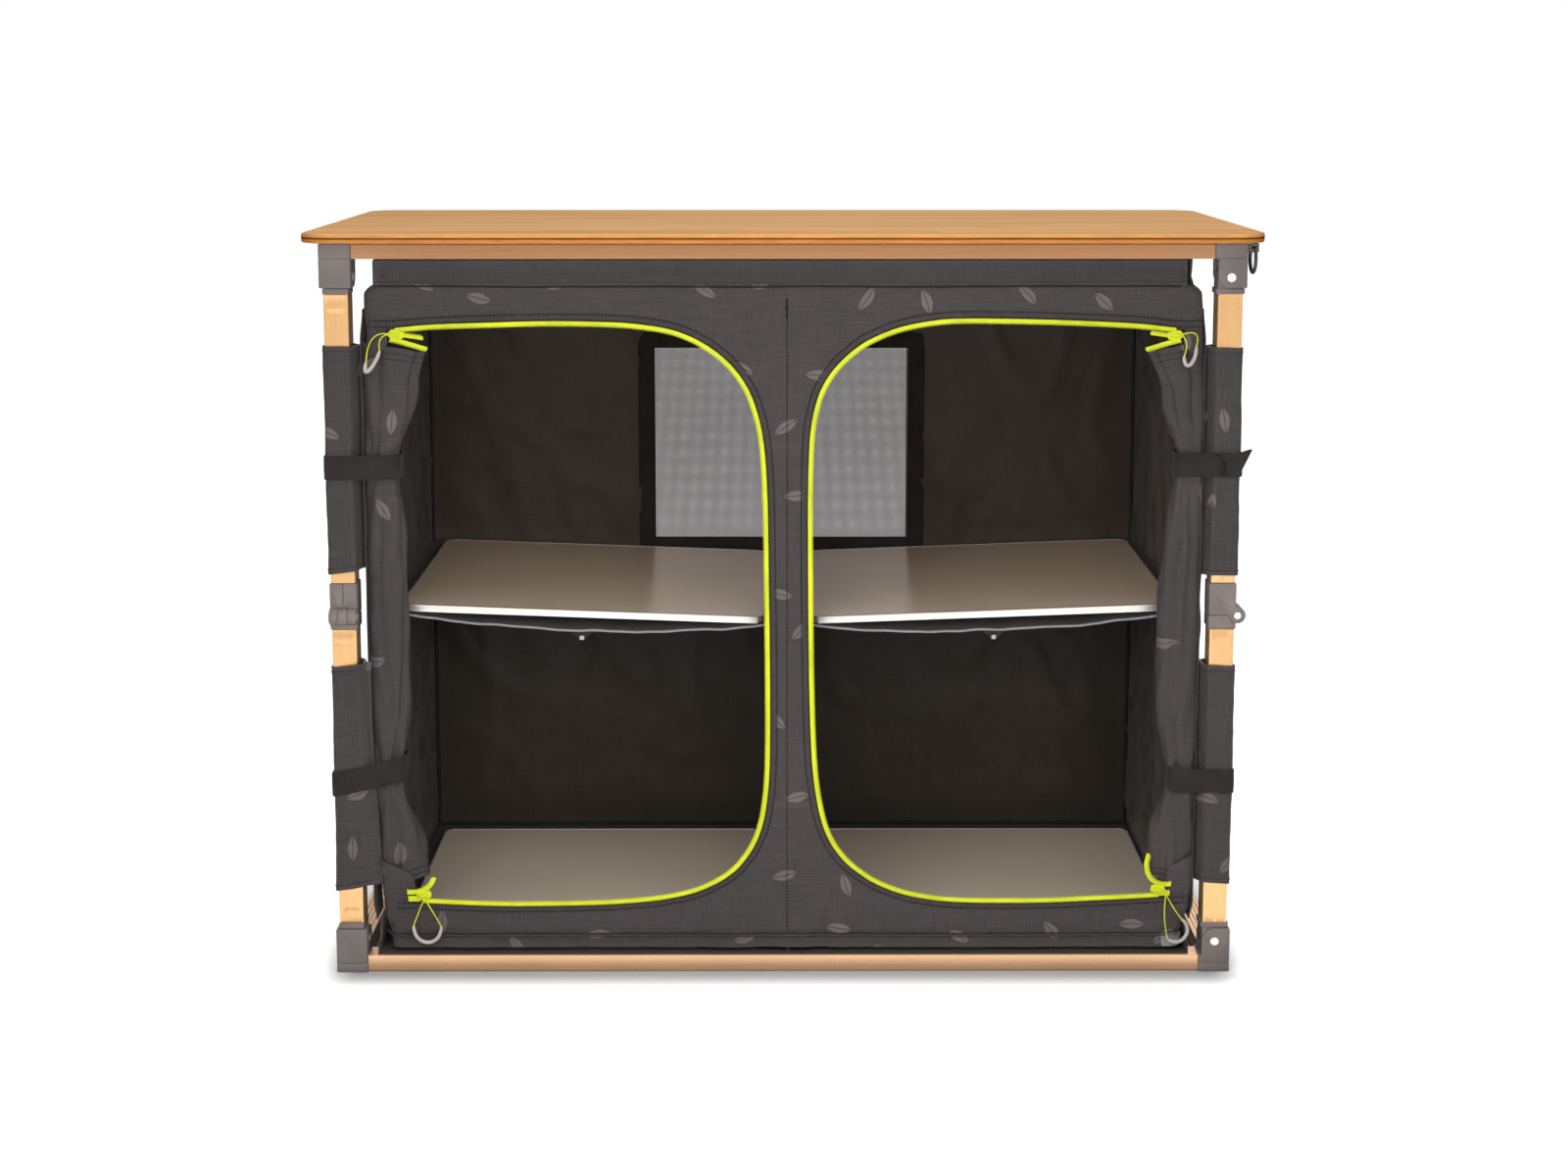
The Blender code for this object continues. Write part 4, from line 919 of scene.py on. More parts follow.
# The moulded plug at a tube's pinned end: a collar and a round tongue.
def endPlug(name, start, centreY, pinZ, up):
    collar = block(name, (-0.0134, centreY - 0.0147, min(start, start - up * 0.0058)),
                   (0.0134, centreY + 0.0147, max(start, start - up * 0.0058)), 0.0007, finishes["moulding"])
    side = 0.0129
    edges = sorted((pinZ, start - up * 0.001))
    shank = block(name + "Shank", (-side, centreY - side, edges[0]), (side, centreY + side, edges[1]), 0.0006)
    eye = barrel(name + "Eye", side, 0.0006, (-side, centreY, pinZ), 2 * side, "X")
    return combine(collar, [shank, eye])


knee = {"half": 0.0143, "up": 0.0345, "down": 0.0145, "knuckle": 0.0088, "middle": 0.0050, "gap": 0.0003}


# The upper knee moulding carries two knuckles and the pin, the lower one carries the middle knuckle.
def kneeMoulding(name, pinY, pinZ, centreY, up):
    half, gap = knee["half"], knee["gap"]
    near = pinZ + up * gap / 2
    far = pinZ + up * (knee["up"] if up > 0 else knee["down"])
    edges = sorted((near, far))
    body = block(name, (-half, centreY - half, edges[0]), (half, centreY + half, edges[1]), 0.0012,
                 finishes["moulding"])
    middle = knee["middle"]
    own = [(-half, -middle), (middle, half)] if up > 0 else [(-middle + 0.0002, middle - 0.0002)]
    others = [(-middle - gap, middle + gap)] if up > 0 else [(-half - 0.001, -middle + gap), (middle - gap, half + 0.001)]
    rooms = [barrel(f"{name}Room{i}", knee["knuckle"] + gap, 0.0001, (low, pinY, pinZ), high - low, "X")
             for i, (low, high) in enumerate(others)]
    combine(body, rooms, "DIFFERENCE")
    knuckles = [barrel(f"{name}Knuckle{i}", knee["knuckle"], 0.0009, (low, pinY, pinZ), high - low, "X")
                for i, (low, high) in enumerate(own)]
    combine(body, knuckles)
    if up > 0:
        seam = block(name + "Seam", (-0.0003, centreY - half - 0.001, pinZ + 0.012),
                     (0.0003, centreY + half + 0.001, far + 0.001), 0.0001)
        combine(body, [seam], "DIFFERENCE")
    return body


def addLegs():
    link = leg["link"]
    lowStart, highEnd = 0.0200, 0.3386
    lower = squareTube("lowerTube", lowStart, link - 0.0148, 0.0, (lowStart + 0.0150, link - 0.0148 - 0.0140))
    atCorners(lower, "lowerTube", "foot", "{}_lower", ["lower_leg"])
    atCorners(endPlug("footPlug", lowStart + 0.0002, 0.0, 0.0, 1), "footPlug", "foot", "{}_lower", [])
    upper = squareTube("upperTube", 0.0348, highEnd, legAt["offset"], (highEnd - 0.0180,))
    atCorners(upper, "upperTube", "knee", "{}_upper", ["upper_leg"])
    atCorners(endPlug("headPlug", highEnd - 0.0002, legAt["offset"], link, -1), "headPlug", "knee", "{}_upper", [])
    low = kneeMoulding("kneeLow", -legAt["offset"], link, 0.0, -1)
    atCorners(low, "kneeLow", "foot", "{}_lower", ["knee_lower"])
    high = kneeMoulding("kneeHigh", 0.0, 0.0, legAt["offset"], 1)
    atCorners(high, "kneeHigh", "knee", "{}_upper", ["knee_upper"])
    pin = rivetedPin("kneePin", knee["half"], proud=0.0011, radius=0.0036)
    atCorners(pin, "kneePin", "knee", "{}_upper", [])


addTableTop()
addRails()
addBrackets()
addRing()
addLegs()
print("frame dressed")


# Cuts a flat pattern to an outline with holes, and gives back its points and triangles in (x, z).
def cutPattern(outline, holes, step):
    def inside(x, z, loop):
        found = False
        for (x0, z0), (x1, z1) in zip(loop, loop[1:] + loop[:1]):
            if (z0 > z) != (z1 > z) and x < (x1 - x0) * (z - z0) / (z1 - z0) + x0:
                found = not found
        return found

    points, edges = [], []
    for loop in [outline] + holes:
        base = len(points)
        points += [Vector(p) for p in loop]
        edges += [(base + i, base + (i + 1) % len(loop)) for i in range(len(loop))]
    rim = len(points)
    cells = {}
    for p in points:
        cells.setdefault((int(p.x // step), int(p.y // step)), []).append(p)
    lowX, highX = min(p.x for p in points), max(p.x for p in points)
    lowZ, highZ = min(p.y for p in points), max(p.y for p in points)
    for row in range(1, int((highZ - lowZ) / step) + 1):
        for column in range(int((highX - lowX) / step) + 1):
            p = Vector((lowX + (column + 0.5 * (row % 2)) * step, lowZ + row * step))
            near = [q for i in (-1, 0, 1) for j in (-1, 0, 1)
                    for q in cells.get((int(p.x // step) + i, int(p.y // step) + j), [])]
            if all((q - p).length > step * 0.6 for q in near):
                points.append(p)
    made = delaunay_2d_cdt(points, edges, [], 0, 1e-7)
    triangles = []
    for face in made[2]:
        x = sum(made[0][i].x for i in face) / 3
        z = sum(made[0][i].y for i in face) / 3
        if inside(x, z, outline) and not any(inside(x, z, hole) for hole in holes):
            triangles.append(tuple(face))
    used = sorted({i for face in triangles for i in face})
    order = {old: new for new, old in enumerate(used)}
    return [tuple(made[0][i]) for i in used], [tuple(order[i] for i in face) for face in triangles]


# A closed sheet from a flat pattern. place gives a point in space for (x, z) and a depth under the surface.
def clothPlate(name, outline, holes, step, place, thick, material, outside=None):
    flat, triangles = cutPattern(outline, holes, step)
    points = [place(x, z, 0.0) for x, z in flat] + [place(x, z, thick) for x, z in flat]
    count = len(flat)
    faces = list(triangles) + [tuple(i + count for i in reversed(face)) for face in triangles]
    seen = {}
    for face in triangles:
        for a, b in zip(face, face[1:] + face[:1]):
            if (b, a) in seen:
                del seen[(b, a)]
            else:
                seen[(a, b)] = True
    faces += [(a, b, b + count, a + count) for a, b in seen]
    piece = newPiece(name, points, faces, material, sharp=60)
    if outside:
        piece.data.materials.append(outside)
        marks = [0] * len(triangles) + [1] * (len(faces) - len(triangles))
        piece.data.polygons.foreach_set("material_index", marks)
    return piece


def flatArea(outline, holes=()):
    def one(loop):
        return abs(sum(a[0] * b[1] - b[0] * a[1] for a, b in zip(loop, loop[1:] + loop[:1]))) / 2
    return one(outline) - sum(one(hole) for hole in holes)


door = {"seam": 0.005, "upperReach": 0.404, "upperZ": 0.689, "upperX": 0.1545, "upperMid": 0.565, "upperR": 0.132,
        "lowerReach": 0.385, "lowerZ": 0.0836, "lowerX": 0.1275, "lowerMid": 0.1846, "lowerR": 0.105}
# The line of each zip as (x, z), from its upper slider to its lower one.
zipLines = {-1: [(-0.400, 0.6905), (-0.3626, 0.6940), (-0.3021, 0.6960), (-0.2415, 0.6975), (-0.1810, 0.6965),
                 (-0.1507, 0.6944), (-0.1204, 0.6897), (-0.0993, 0.6827), (-0.0786, 0.6716), (-0.0595, 0.6563),
                 (-0.0433, 0.6363), (-0.0327, 0.6140), (-0.0246, 0.5830), (-0.0206, 0.5445), (-0.0187, 0.4928),
                 (-0.0178, 0.4198), (-0.0168, 0.3357), (-0.0166, 0.2721), (-0.0171, 0.2295), (-0.0192, 0.1974),
                 (-0.0237, 0.1680), (-0.0320, 0.1440), (-0.0460, 0.1222), (-0.0610, 0.1085), (-0.0780, 0.0985),
                 (-0.0980, 0.0905), (-0.1246, 0.0845), (-0.1560, 0.0808), (-0.2030, 0.0780), (-0.2500, 0.0770),
                 (-0.2970, 0.0769), (-0.3440, 0.0784), (-0.3840, 0.0805)],
            1: [(0.405, 0.6905), (0.3645, 0.6948), (0.3038, 0.6978), (0.2431, 0.6996), (0.1825, 0.7000),
                (0.1522, 0.6975), (0.1220, 0.6914), (0.0973, 0.6820), (0.0791, 0.6716), (0.0605, 0.6553),
                (0.0460, 0.6363), (0.0370, 0.6150), (0.0310, 0.5840), (0.0290, 0.5445), (0.0285, 0.4927),
                (0.0289, 0.4198), (0.0297, 0.3357), (0.0313, 0.2721), (0.0334, 0.2294), (0.0371, 0.1973),
                (0.0434, 0.1671), (0.0530, 0.1440), (0.0670, 0.1250), (0.0827, 0.1115), (0.1000, 0.1005),
                (0.1261, 0.0900), (0.1575, 0.0834), (0.1889, 0.0806), (0.2360, 0.0798), (0.2830, 0.0804),
                (0.3300, 0.0826), (0.3771, 0.0847), (0.4000, 0.0862)]}


# A smooth line through points, as a flat curve.
def smoothLine(points, steps=8):
    points = [Vector(p) for p in points]
    ends = [points[0] * 2 - points[1]] + points + [points[-1] * 2 - points[-2]]
    found = [points[0]]
    for a, b, c, d in zip(ends, ends[1:], ends[2:], ends[3:]):
        for i in range(1, steps + 1):
            t = i / steps
            found.append(0.5 * (2 * b + (c - a) * t + (2 * a - 5 * b + 4 * c - d) * t * t
                                + (3 * b - a - 3 * c + d) * t ** 3))
    return found


# The line of a zip in three parts, as (x, z). beyond moves it out of the opening, reachOn runs it on at both ends.
def doorParts(side, beyond=0.0, step=0.004, reachOn=0.0):
    line = smoothLine(zipLines[side])
    heading = directions([Vector((p.x, p.y, 0)) for p in line])
    moved = [p + Vector((go.y, -go.x)) * side * beyond for p, go in zip(line, heading)]
    if reachOn > 0:
        moved = [moved[0] + Vector((side * reachOn, 0))] + moved + [moved[-1] + Vector((side * reachOn, 0))]
    line = [(p.x, p.z) for p in resample([(p.x, 0, p.y) for p in moved], step)]
    upper = [p for p in line if p[1] >= door["upperMid"]]
    lower = [p for p in line if p[1] <= door["lowerMid"]]
    middle = line[len(upper) - 1:len(line) - len(lower) + 1]
    return [upper, middle, lower]


def doorLine(side, beyond=0.0, step=0.004, reachOn=0.0):
    upper, middle, lower = doorParts(side, beyond, step, reachOn)
    return upper + middle[1:] + lower[1:]


panel = {"face": 0.0055, "thick": 0.0013, "low": 0.0262, "top": 0.7385, "turn": 0.0090, "deep": 0.0045,
         "edges": {-1: [(0.026, -0.4180), (0.046, -0.4200), (0.065, -0.4250), (0.098, -0.4281), (0.120, -0.4300),
                        (0.690, -0.4305), (0.708, -0.4324), (0.728, -0.4322), (0.735, -0.4285), (0.7385, -0.4200)],
                   1: [(0.026, 0.4240), (0.041, 0.4246), (0.055, 0.4285), (0.072, 0.4333), (0.098, 0.4375),
                       (0.690, 0.4338), (0.708, 0.4335), (0.728, 0.4322), (0.735, 0.4285), (0.7385, 0.4200)]}}


def panelEdge(side, z):
    return along(panel["edges"][side], z)[0]


# Depth of the front cloth: slack between the seams, folds that run from the corners, and a turn at the edges.
def panelDepth(x, z):
    slack = 0.0013 * wobble(x, 0, z, 7, 3) + 0.0008 * wobble(x * 2.2, 0, z, 24, 8)
    slack += 0.0012 * math.exp(-abs(wobble(x * 0.9 + z * 0.5, 0, z * 0.8, 13, 21)) * 22) * smoothStep(0.20 - z, 0.0, 0.08)
    for side in (-1, 1):
        cornerX, cornerZ = panelEdge(side, 0.74), 0.70
        dx, dz = (x - cornerX) * -side, cornerZ - z
        if z > 0.69:
            slack += 0.0010 * math.sin(75 * (dx + 1.6 * dz)) * math.exp(-dx * 9) * smoothStep(0.76 - z, 0.0, 0.05)
        else:
            slack += 0.0008 * math.sin(85 * (dx - 1.2 * z)) * math.exp(-dx * 10)
        out = (x - panelEdge(side, z)) * side + panel["turn"]
        if out > 0:
            slack += panel["deep"] * (out / panel["turn"]) ** 2.2
    for middle, across, up in ((-1, -0.150, 0.565), (-1, -0.125, 0.190), (1, 0.160, 0.565), (1, 0.135, 0.190)):
        dx, dz = (across - x) * middle, (z - up) * (1 if up > 0.4 else -1)
        if dx > 0 and dz > 0:
            off = math.hypot(dx, dz) - 0.13
            angle = math.atan2(dz, dx)
            pull = math.exp(-max(off, 0) * 17) * smoothStep(off, -0.03, 0.012) * math.sin(2 * angle)
            slack += 0.0017 * pull * math.sin(angle * 21 + 1.5 * math.sin(7 * angle + across * 40) - 30 * off)
    slack += 0.0025 * smoothStep(0.0415 - z, 0.0, 0.003) - 0.0030 * smoothStep(z, 0.700, 0.728)
    slack += 0.0045 * smoothStep(z, 0.7290, 0.7385) ** 2
    return yAt(panel["face"]) + slack


def addFrontPanel():
    cloth, thread = finishes["outer"], finishes["thread"]
    parts = {side: doorParts(side, 0.0009, reachOn=0.010) for side in (-1, 1)}
    for side in (-1, 1):
        for k, row in ((0, parts[side][0]), (2, parts[side][2][::-1])):
            x, z = row[0]
            turn = -0.030 if k == 0 else 0.044
            edge = panelEdge(side, z + turn)
            corner = smoothLine([(edge, z + turn), (x + 0.60 * (edge - x), z + 0.86 * turn),
                                 (x + 0.10 * (edge - x), z + 0.66 * turn), (x - 0.06 * (edge - x), z + 0.33 * turn), (x, z)])
            row = [tuple(p) for p in corner[:-1]] + row
            parts[side][k] = row if k == 0 else row[::-1]

    def rise(side, low, high):
        count = max(2, round((high - low) / 0.0035))
        return [(panelEdge(side, low + (high - low) * i / count), low + (high - low) * i / count)
                for i in range(count + 1)]

    def level(z):
        line = resample([(panelEdge(-1, z), 0, z), (panelEdge(1, z), 0, z)], 0.006)
        return [(p.x, p.z) for p in line]

    outlines = {
        "frontUpper": parts[-1][0] + parts[1][0][::-1] + rise(1, 0.6665, 0.7365) + level(panel["top"])[::-1]
        + rise(-1, 0.6665, 0.7365)[::-1],
        "frontMiddle": parts[-1][1] + parts[1][1][::-1],
        "frontLower": parts[-1][2] + rise(-1, 0.032, 0.121)[::-1] + level(panel["low"]) + rise(1, 0.032, 0.126)
        + parts[1][2][::-1]}
    sheets = {}
    for name, outline in outlines.items():
        sheets[name] = clothPlate(name, outline, [], 0.0062, lambda x, z, d: (x, panelDepth(x, z) + d, z),
                                  panel["thick"], cloth)
        finishPiece(sheets[name], "base", ["front_panel"], fold=True)
    hems, threads = [], []
    for side in (-1, 1):
        path = doorLine(side, 0.0050, 0.005, reachOn=0.026)
        ring = [(x, panelDepth(x, z) - 0.0006, z) for x, z in path]
        hems.append(band(f"zipHem{side}", ring, [(0, -1, 0)] * len(ring), 0.0080, 0.0010, finishes["outerPlain"],
                         crown=0.0003))
        # The inner row runs right beside the zip and stands proud: dark stitches that also paint the shade between zip
        # and hem.
        for offset, proud in ((0.0036, 0.0018), (0.0100, 0.0005)):
            path = doorLine(side, offset, 0.003, reachOn=0.028)
            threads.append(([(x, panelDepth(x, z) - proud, z) for x, z in path], (0, -1, 0)))
    threads.append(([(0.0040, panelDepth(0.0040, z) - 0.0005, z) for z in (0.045 + 0.003 * i for i in range(227))],
                    (0, -1, 0)))
    threads.append(([(x, panelDepth(x, 0.0425) - 0.0002, 0.0425) for x in (-0.425 + 0.003 * i for i in range(284))],
                    (0, -1, 0)))
    hem = gather("zipHems", hems)
    finishPiece(hem, "base", fold=True)
    sewn = stitches("frontStitches", threads, thread, 0.0030, 0.0006, 0.00075)
    finishPiece(sewn, "base", fold=True)
    # A bar tack at the top of the middle seam, with one crossing stitch.
    tack = [tube("tackBar", [(0.0038 + 0.0003 * wobble(0, 0, z, 200, 8), panelDepth(0.0040, z) - 0.0010, z)
                             for z in (0.7025 + 0.0015 * i for i in range(15))], 0.00095, thread, 7),
            tube("tackCross", [(0.0010, panelDepth(0.0010, 0.7130) - 0.0008, 0.7140),
                               (0.0040, panelDepth(0.0040, 0.7130) - 0.0016, 0.7130)], 0.0007, thread, 6)]
    tack = gather("middleTack", tack)
    finishPiece(tack, "base", fold=True)
    bottomSeam = [(x, panelDepth(x, 0.0400) - 0.0003, 0.0400 + 0.0006 * wobble(x, 0, 0, 12, 5))
                  for x in (-0.430 + 0.01 * i for i in range(87))]
    fold = tube("lowerFold", bottomSeam, 0.0014, finishes["outerPlain"], 8)
    finishPiece(fold, "base", fold=True)
    for name, size, extras in (("frontUpper", (0.873, 0.182), (hem, sewn, tack)), ("frontMiddle", (0.0515, 0.384), ()),
                               ("frontLower", (0.874, 0.164), (fold,))):
        flatArea(outlines[name])
        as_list(extras)


valance = {"low": 0.7364, "top": 0.7628, "left": -0.4225, "right": 0.4160, "face": 0.0068}


# The strip of cloth under the table's front edge, with a dark cord under its lower edge as a painted shadow line.
def addValance():
    def depth(x, z):
        drop = smoothStep(valance["top"] - z, 0.0, 0.024)
        return yAt(valance["face"]) - drop * (0.0010 + 0.0012 * wobble(x, 0, 0, 14, 2)) + 0.0004 * wobble(x, 0, z, 40, 4)

    low = [(x, valance["low"] + 0.0008 * wobble(x, 0, 0, 10, 6)) for x in
           (valance["left"] + (valance["right"] - valance["left"]) * i / 140 for i in range(141))]
    high = [(x, valance["top"]) for x, z in low[::-1]]
    made = clothPlate("valanceCloth", low + high, [], 0.006, lambda x, z, d: (x, depth(x, z) + d, z), 0.0011,
                      finishes["outerPlain"])
    finishPiece(made, "base", fold=True)
    threads = [([(x, depth(x, z + 0.004), z + 0.0040) for x, z in low], (0, -1, 0))]
    for x in (-0.4130, 0.4105):
        threads.append(([(x, depth(x, z) - 0.0001, z) for z in (0.7395 + 0.002 * i for i in range(12))], (0, -1, 0)))
    sewn = stitches("valanceStitches", threads, finishes["thread"], 0.0026, 0.0012, 0.00042)
    finishPiece(sewn, "base", fold=True)
    # A dark cord just under the valance's lower edge: a painted shadow line where the valance overhangs the panel.
    under = [(x, min(depth(x, z) + 0.0003, panelDepth(x, z) - 0.0007), z - 0.0009) for x, z in low[1:-1]]
    edge = tube("valancePaintedShadowCord", under, 0.0011, finishes["thread"], 7)
    finishPiece(edge, "base", fold=True)
    flatArea(low + high)


addFrontPanel()
addValance()
print("front cloth hangs")


cabinet = {"half": 0.4340, "front": 0.0073, "back": 0.0220, "floor": 0.0185, "top": 0.7636, "thick": 0.0012,
           "window": (-0.156, 0.152, 0.3820, 0.6230), "notch": (0.068, 0.700, 0.0400), "seam": 0.005}


# Slack and creases of the cabinet's cloth, as a push towards the inside.
def slackAt(a, b, seed, amount=1.0):
    broad = 0.0040 * wobble(a, b, 0, 5.5, seed) + 0.0022 * wobble(a, b, 0, 16, seed + 4)
    crease = abs(wobble(a * 1.5 + b * 0.6, b * 0.7 - a * 0.3, 0, 9, seed + 9))
    fine = abs(wobble(a - b, a + b, 0, 17, seed + 2))
    return amount * (broad + 0.0050 * math.exp(-crease * 20) + 0.0022 * math.exp(-fine * 24) + 0.0022)


def boxLoop(low, high, step=0.008):
    corners = [(low[0], 0, low[1]), (high[0], 0, low[1]), (high[0], 0, high[1]), (low[0], 0, high[1])]
    points = []
    for a, b in zip(corners, corners[1:] + corners[:1]):
        points += [(p.x, p.z) for p in resample([a, b], step)[:-1]]
    return points


def addBackWall():
    half, low, top = cabinet["half"], cabinet["floor"], cabinet["top"]
    outer = -topFront - cabinet["back"]
    left, right, bottom, high = cabinet["window"]
    outline, hole = boxLoop((-half, low), (half, top), 0.010), boxLoop((left, bottom), (right, high), 0.008)

    def place(x, z, d):
        inward = slackAt(x, z, 21) * smoothStep(half - abs(x), 0.0, 0.05) * smoothStep(z - low, 0.0, 0.05)
        inward *= smoothStep(top - z, 0.0, 0.05)
        inward *= smoothStep(max(left - x, x - right, bottom - z, z - high), -0.01, 0.05) * 0.9 + 0.1
        return (x, outer - cabinet["thick"] - inward + d, z)

    wall = clothPlate("backWall", outline, [hole], 0.011, place, cabinet["thick"], finishes["inner"], finishes["outer"])
    finishPiece(wall, "base", ["cabinet"], fold=True)
    net = clothPlate("windowNet", boxLoop((left - 0.004, bottom - 0.004), (right + 0.004, high + 0.004), 0.012), [], 0.012,
                     lambda x, z, d: (x, place(x, z, d)[1] - 0.0003 + 0.0012 * wobble(x, z, 0, 9, 31), z), 0.0004,
                     finishes["net"])
    finishPiece(net, "base", fold=True)
    edge = resample([(left - 0.0105, 0, bottom - 0.0045), (right + 0.0125, 0, bottom - 0.0045), (right + 0.0125, 0, high + 0.010),
                     (left - 0.0105, 0, high + 0.010)], 0.006, closed=True)
    ring = [(p.x, place(p.x, p.z, 0)[1] - 0.0011 + 0.0004 * wobble(p.x, p.z, 0, 40, 3), p.z) for p in edge]
    bound = band("windowBinding", ring, [(0, -1, 0)] * len(ring), 0.0200, 0.0014, finishes["webbing"], closed=True,
                 crown=0.0004)
    finishPiece(bound, "base", fold=True)
    outside = [(x, 2 * outer - y - 0.0008, z) for x, y, z in ring]
    back = band("windowBindingBack", [(x, outer + 0.0006, z) for x, y, z in outside], [(0, 1, 0)] * len(ring), 0.0200,
                0.0012, finishes["webbing"], closed=True, crown=0.0003)
    finishPiece(back, "base", fold=True)
    rows = []
    for grow in (-0.0085, 0.0085):
        loop = resample([(left - 0.0105 - grow, 0, bottom - 0.0045 - grow), (right + 0.0125 + grow, 0, bottom - 0.0045 - grow),
                         (right + 0.0125 + grow, 0, high + 0.010 + grow), (left - 0.0105 - grow, 0, high + 0.010 + grow)],
                        0.004, closed=True)
        rows.append(([(p.x, place(p.x, p.z, 0)[1] - 0.0019, p.z) for p in loop + loop[:1]], (0, -1, 0)))
    sewn = stitches("windowStitches", rows, finishes["thread"], 0.0030, 0.0014, 0.0003)
    finishPiece(sewn, "base", fold=True)
    flatArea(outline, [hole])


# The side walls. Their front edge stands back where the rolled door lies.
def addSideWalls():
    half, low, top = cabinet["half"], cabinet["floor"], cabinet["top"]
    front, back = yAt(cabinet["front"]), -topFront - cabinet["back"]
    notchLow, notchHigh, notchDeep = cabinet["notch"]
    for side, word in ((-1, "left"), (1, "right")):
        corners = [(front, 0, low), (back, 0, low), (back, 0, top), (front, 0, top), (front, 0, notchHigh + 0.012),
                   (yAt(notchDeep) - 0.012, 0, notchHigh), (yAt(notchDeep), 0, notchHigh - 0.012),
                   (yAt(notchDeep), 0, notchLow + 0.012), (yAt(notchDeep) - 0.012, 0, notchLow), (front, 0, notchLow - 0.012)]
        outline = []
        for a, b in zip(corners, corners[1:] + corners[:1]):
            outline += [(p.x, p.z) for p in resample([a, b], 0.008)[:-1]]

        def place(y, z, d):
            inward = slackAt(y, z, 40 + side, 1.1) * smoothStep(back - y, 0.0, 0.04) * smoothStep(z - low, 0.0, 0.04)
            inward *= smoothStep(top - z, 0.0, 0.05)
            inward += 0.0125 * smoothStep(z, 0.728, 0.744)
            return (side * (half - inward - cabinet["thick"] + d), y, z)

        wall = clothPlate(f"{word}SideWall", outline, [], 0.010, place, cabinet["thick"], finishes["inner"],
                          finishes["outer"])
        finishPiece(wall, "base", ["cabinet"], fold=True)
        flatArea(outline)


# The strip of the side wall outside each rolled door, where the door and the leg sleeves are sewn on.
def addDoorStrips():
    low, high, deep = cabinet["notch"]
    near, far = yAt(0.0110), yAt(deep + 0.010)
    for side, word in ((-1, "left"), (1, "right")):
        outline = boxLoop((near, low - 0.012), (far, high + 0.012), 0.006)

        def place(y, z, d):
            out = 0.0010 + 0.0020 * smoothStep(far - y, 0.0, 0.02) + 0.0007 * wobble(y, z, 0, 20, 15 + side)
            out *= smoothStep(high + 0.012 - z, 0.0, 0.035) * smoothStep(z - low + 0.012, 0.0, 0.02)
            return (side * (cabinet["half"] + out + 0.0002 + d), y, z)

        strip = clothPlate(f"{word}DoorStrip", outline, [], 0.007, place, 0.0009, finishes["inner"], finishes["outerPlain"])
        finishPiece(strip, "base", fold=True)


def addFloorAndMiddle():
    half, low = cabinet["half"] - 0.0014, cabinet["floor"]
    front, back = yAt(cabinet["front"]) + 0.001, -topFront - cabinet["back"] - 0.0014
    outline = boxLoop((-half, front), (half, back), 0.012)
    floor = clothPlate("floorCloth", outline, [], 0.014,
                       lambda x, y, d: (x, y, low + cabinet["thick"] - d + 0.0004 * wobble(x, y, 0, 12, 50)),
                       cabinet["thick"], finishes["floorCloth"])
    finishPiece(floor, "base", ["cabinet"], fold=True)
    outline = boxLoop((front + 0.004, low + 0.0015), (back - 0.0035, cabinet["top"] - 0.001), 0.010)
    for side in (-1, 1):
        wall = clothPlate(f"middleWall{'L' if side < 0 else 'R'}", outline, [], 0.012,
                          lambda y, z, d: (cabinet["seam"] + side * (0.0004 + d) + 0.0012 * wobble(y, z, 0, 6, 60), y, z),
                          0.0008, finishes["inner"])
        finishPiece(wall, "base", ["cabinet"], fold=True)


# Turned seams in the inner corners.
def addPiping():
    half, low, top = cabinet["half"] - 0.0040, cabinet["floor"] + 0.0040, cabinet["top"] - 0.004
    back, front = -topFront - cabinet["back"] - 0.0045, yAt(0.046)
    seam = cabinet["seam"]
    runs = [[(-half, back, low), (-half, back, top)], [(half, back, low), (half, back, top)],
            [(-half, back, low), (half, back, low)], [(-half, front, low), (-half, back, low)],
            [(half, front, low), (half, back, low)], [(seam - 0.0035, back, low), (seam - 0.0035, back, top)],
            [(seam + 0.0035, back, low), (seam + 0.0035, back, top)]]
    made = []
    for i, run in enumerate(runs):
        line = [Vector((p.x + 0.0007 * wobble(p.x, p.y, p.z, 18, i), p.y + 0.0007 * wobble(p.x, p.y, p.z, 18, i + 20), p.z))
                for p in resample(run, 0.010)]
        made.append(tube(f"piping{i}", line, 0.0021, finishes["tape"], 8))
    piping = gather("innerPiping", made)
    finishPiece(piping, "base", fold=True)


sling = {"front": 0.0370, "back": 0.4000, "sag": 0.0125, "thick": 0.0011}
shelfBoard = {"reach": 0.2190, "half": (0.1930, 0.1810), "front": 0.0380, "height": 0.3840, "tilt": 2.1, "thick": 0.0070}


# Height of the sling's upper face under a hanging shelf, for an x on one side.
def slingHeight(side, x, y):
    distance = (x - cabinet["seam"]) * side
    middle, half = shelfBoard["reach"], shelfBoard["half"][0]
    slope = math.tan(math.radians(shelfBoard["tilt"]))
    under = shelfBoard["height"] - shelfBoard["thick"] / 2
    share = (distance - middle) / half
    if abs(share) >= 1:
        rise = 0.006 if share > 0 else 0.004
        return under + slope * (distance - middle) - 0.0005 + rise * (abs(share) - 1) * 6
    sag = sling["sag"] * (1 - share * share) ** 0.8
    wave = 0.0018 * wobble(x, y, 0, 17, 70) + 0.0012 * wobble(x, y, 0, 45, 71)
    return under + slope * (distance - middle) - 0.0006 - sag - wave * (1 - share ** 6)


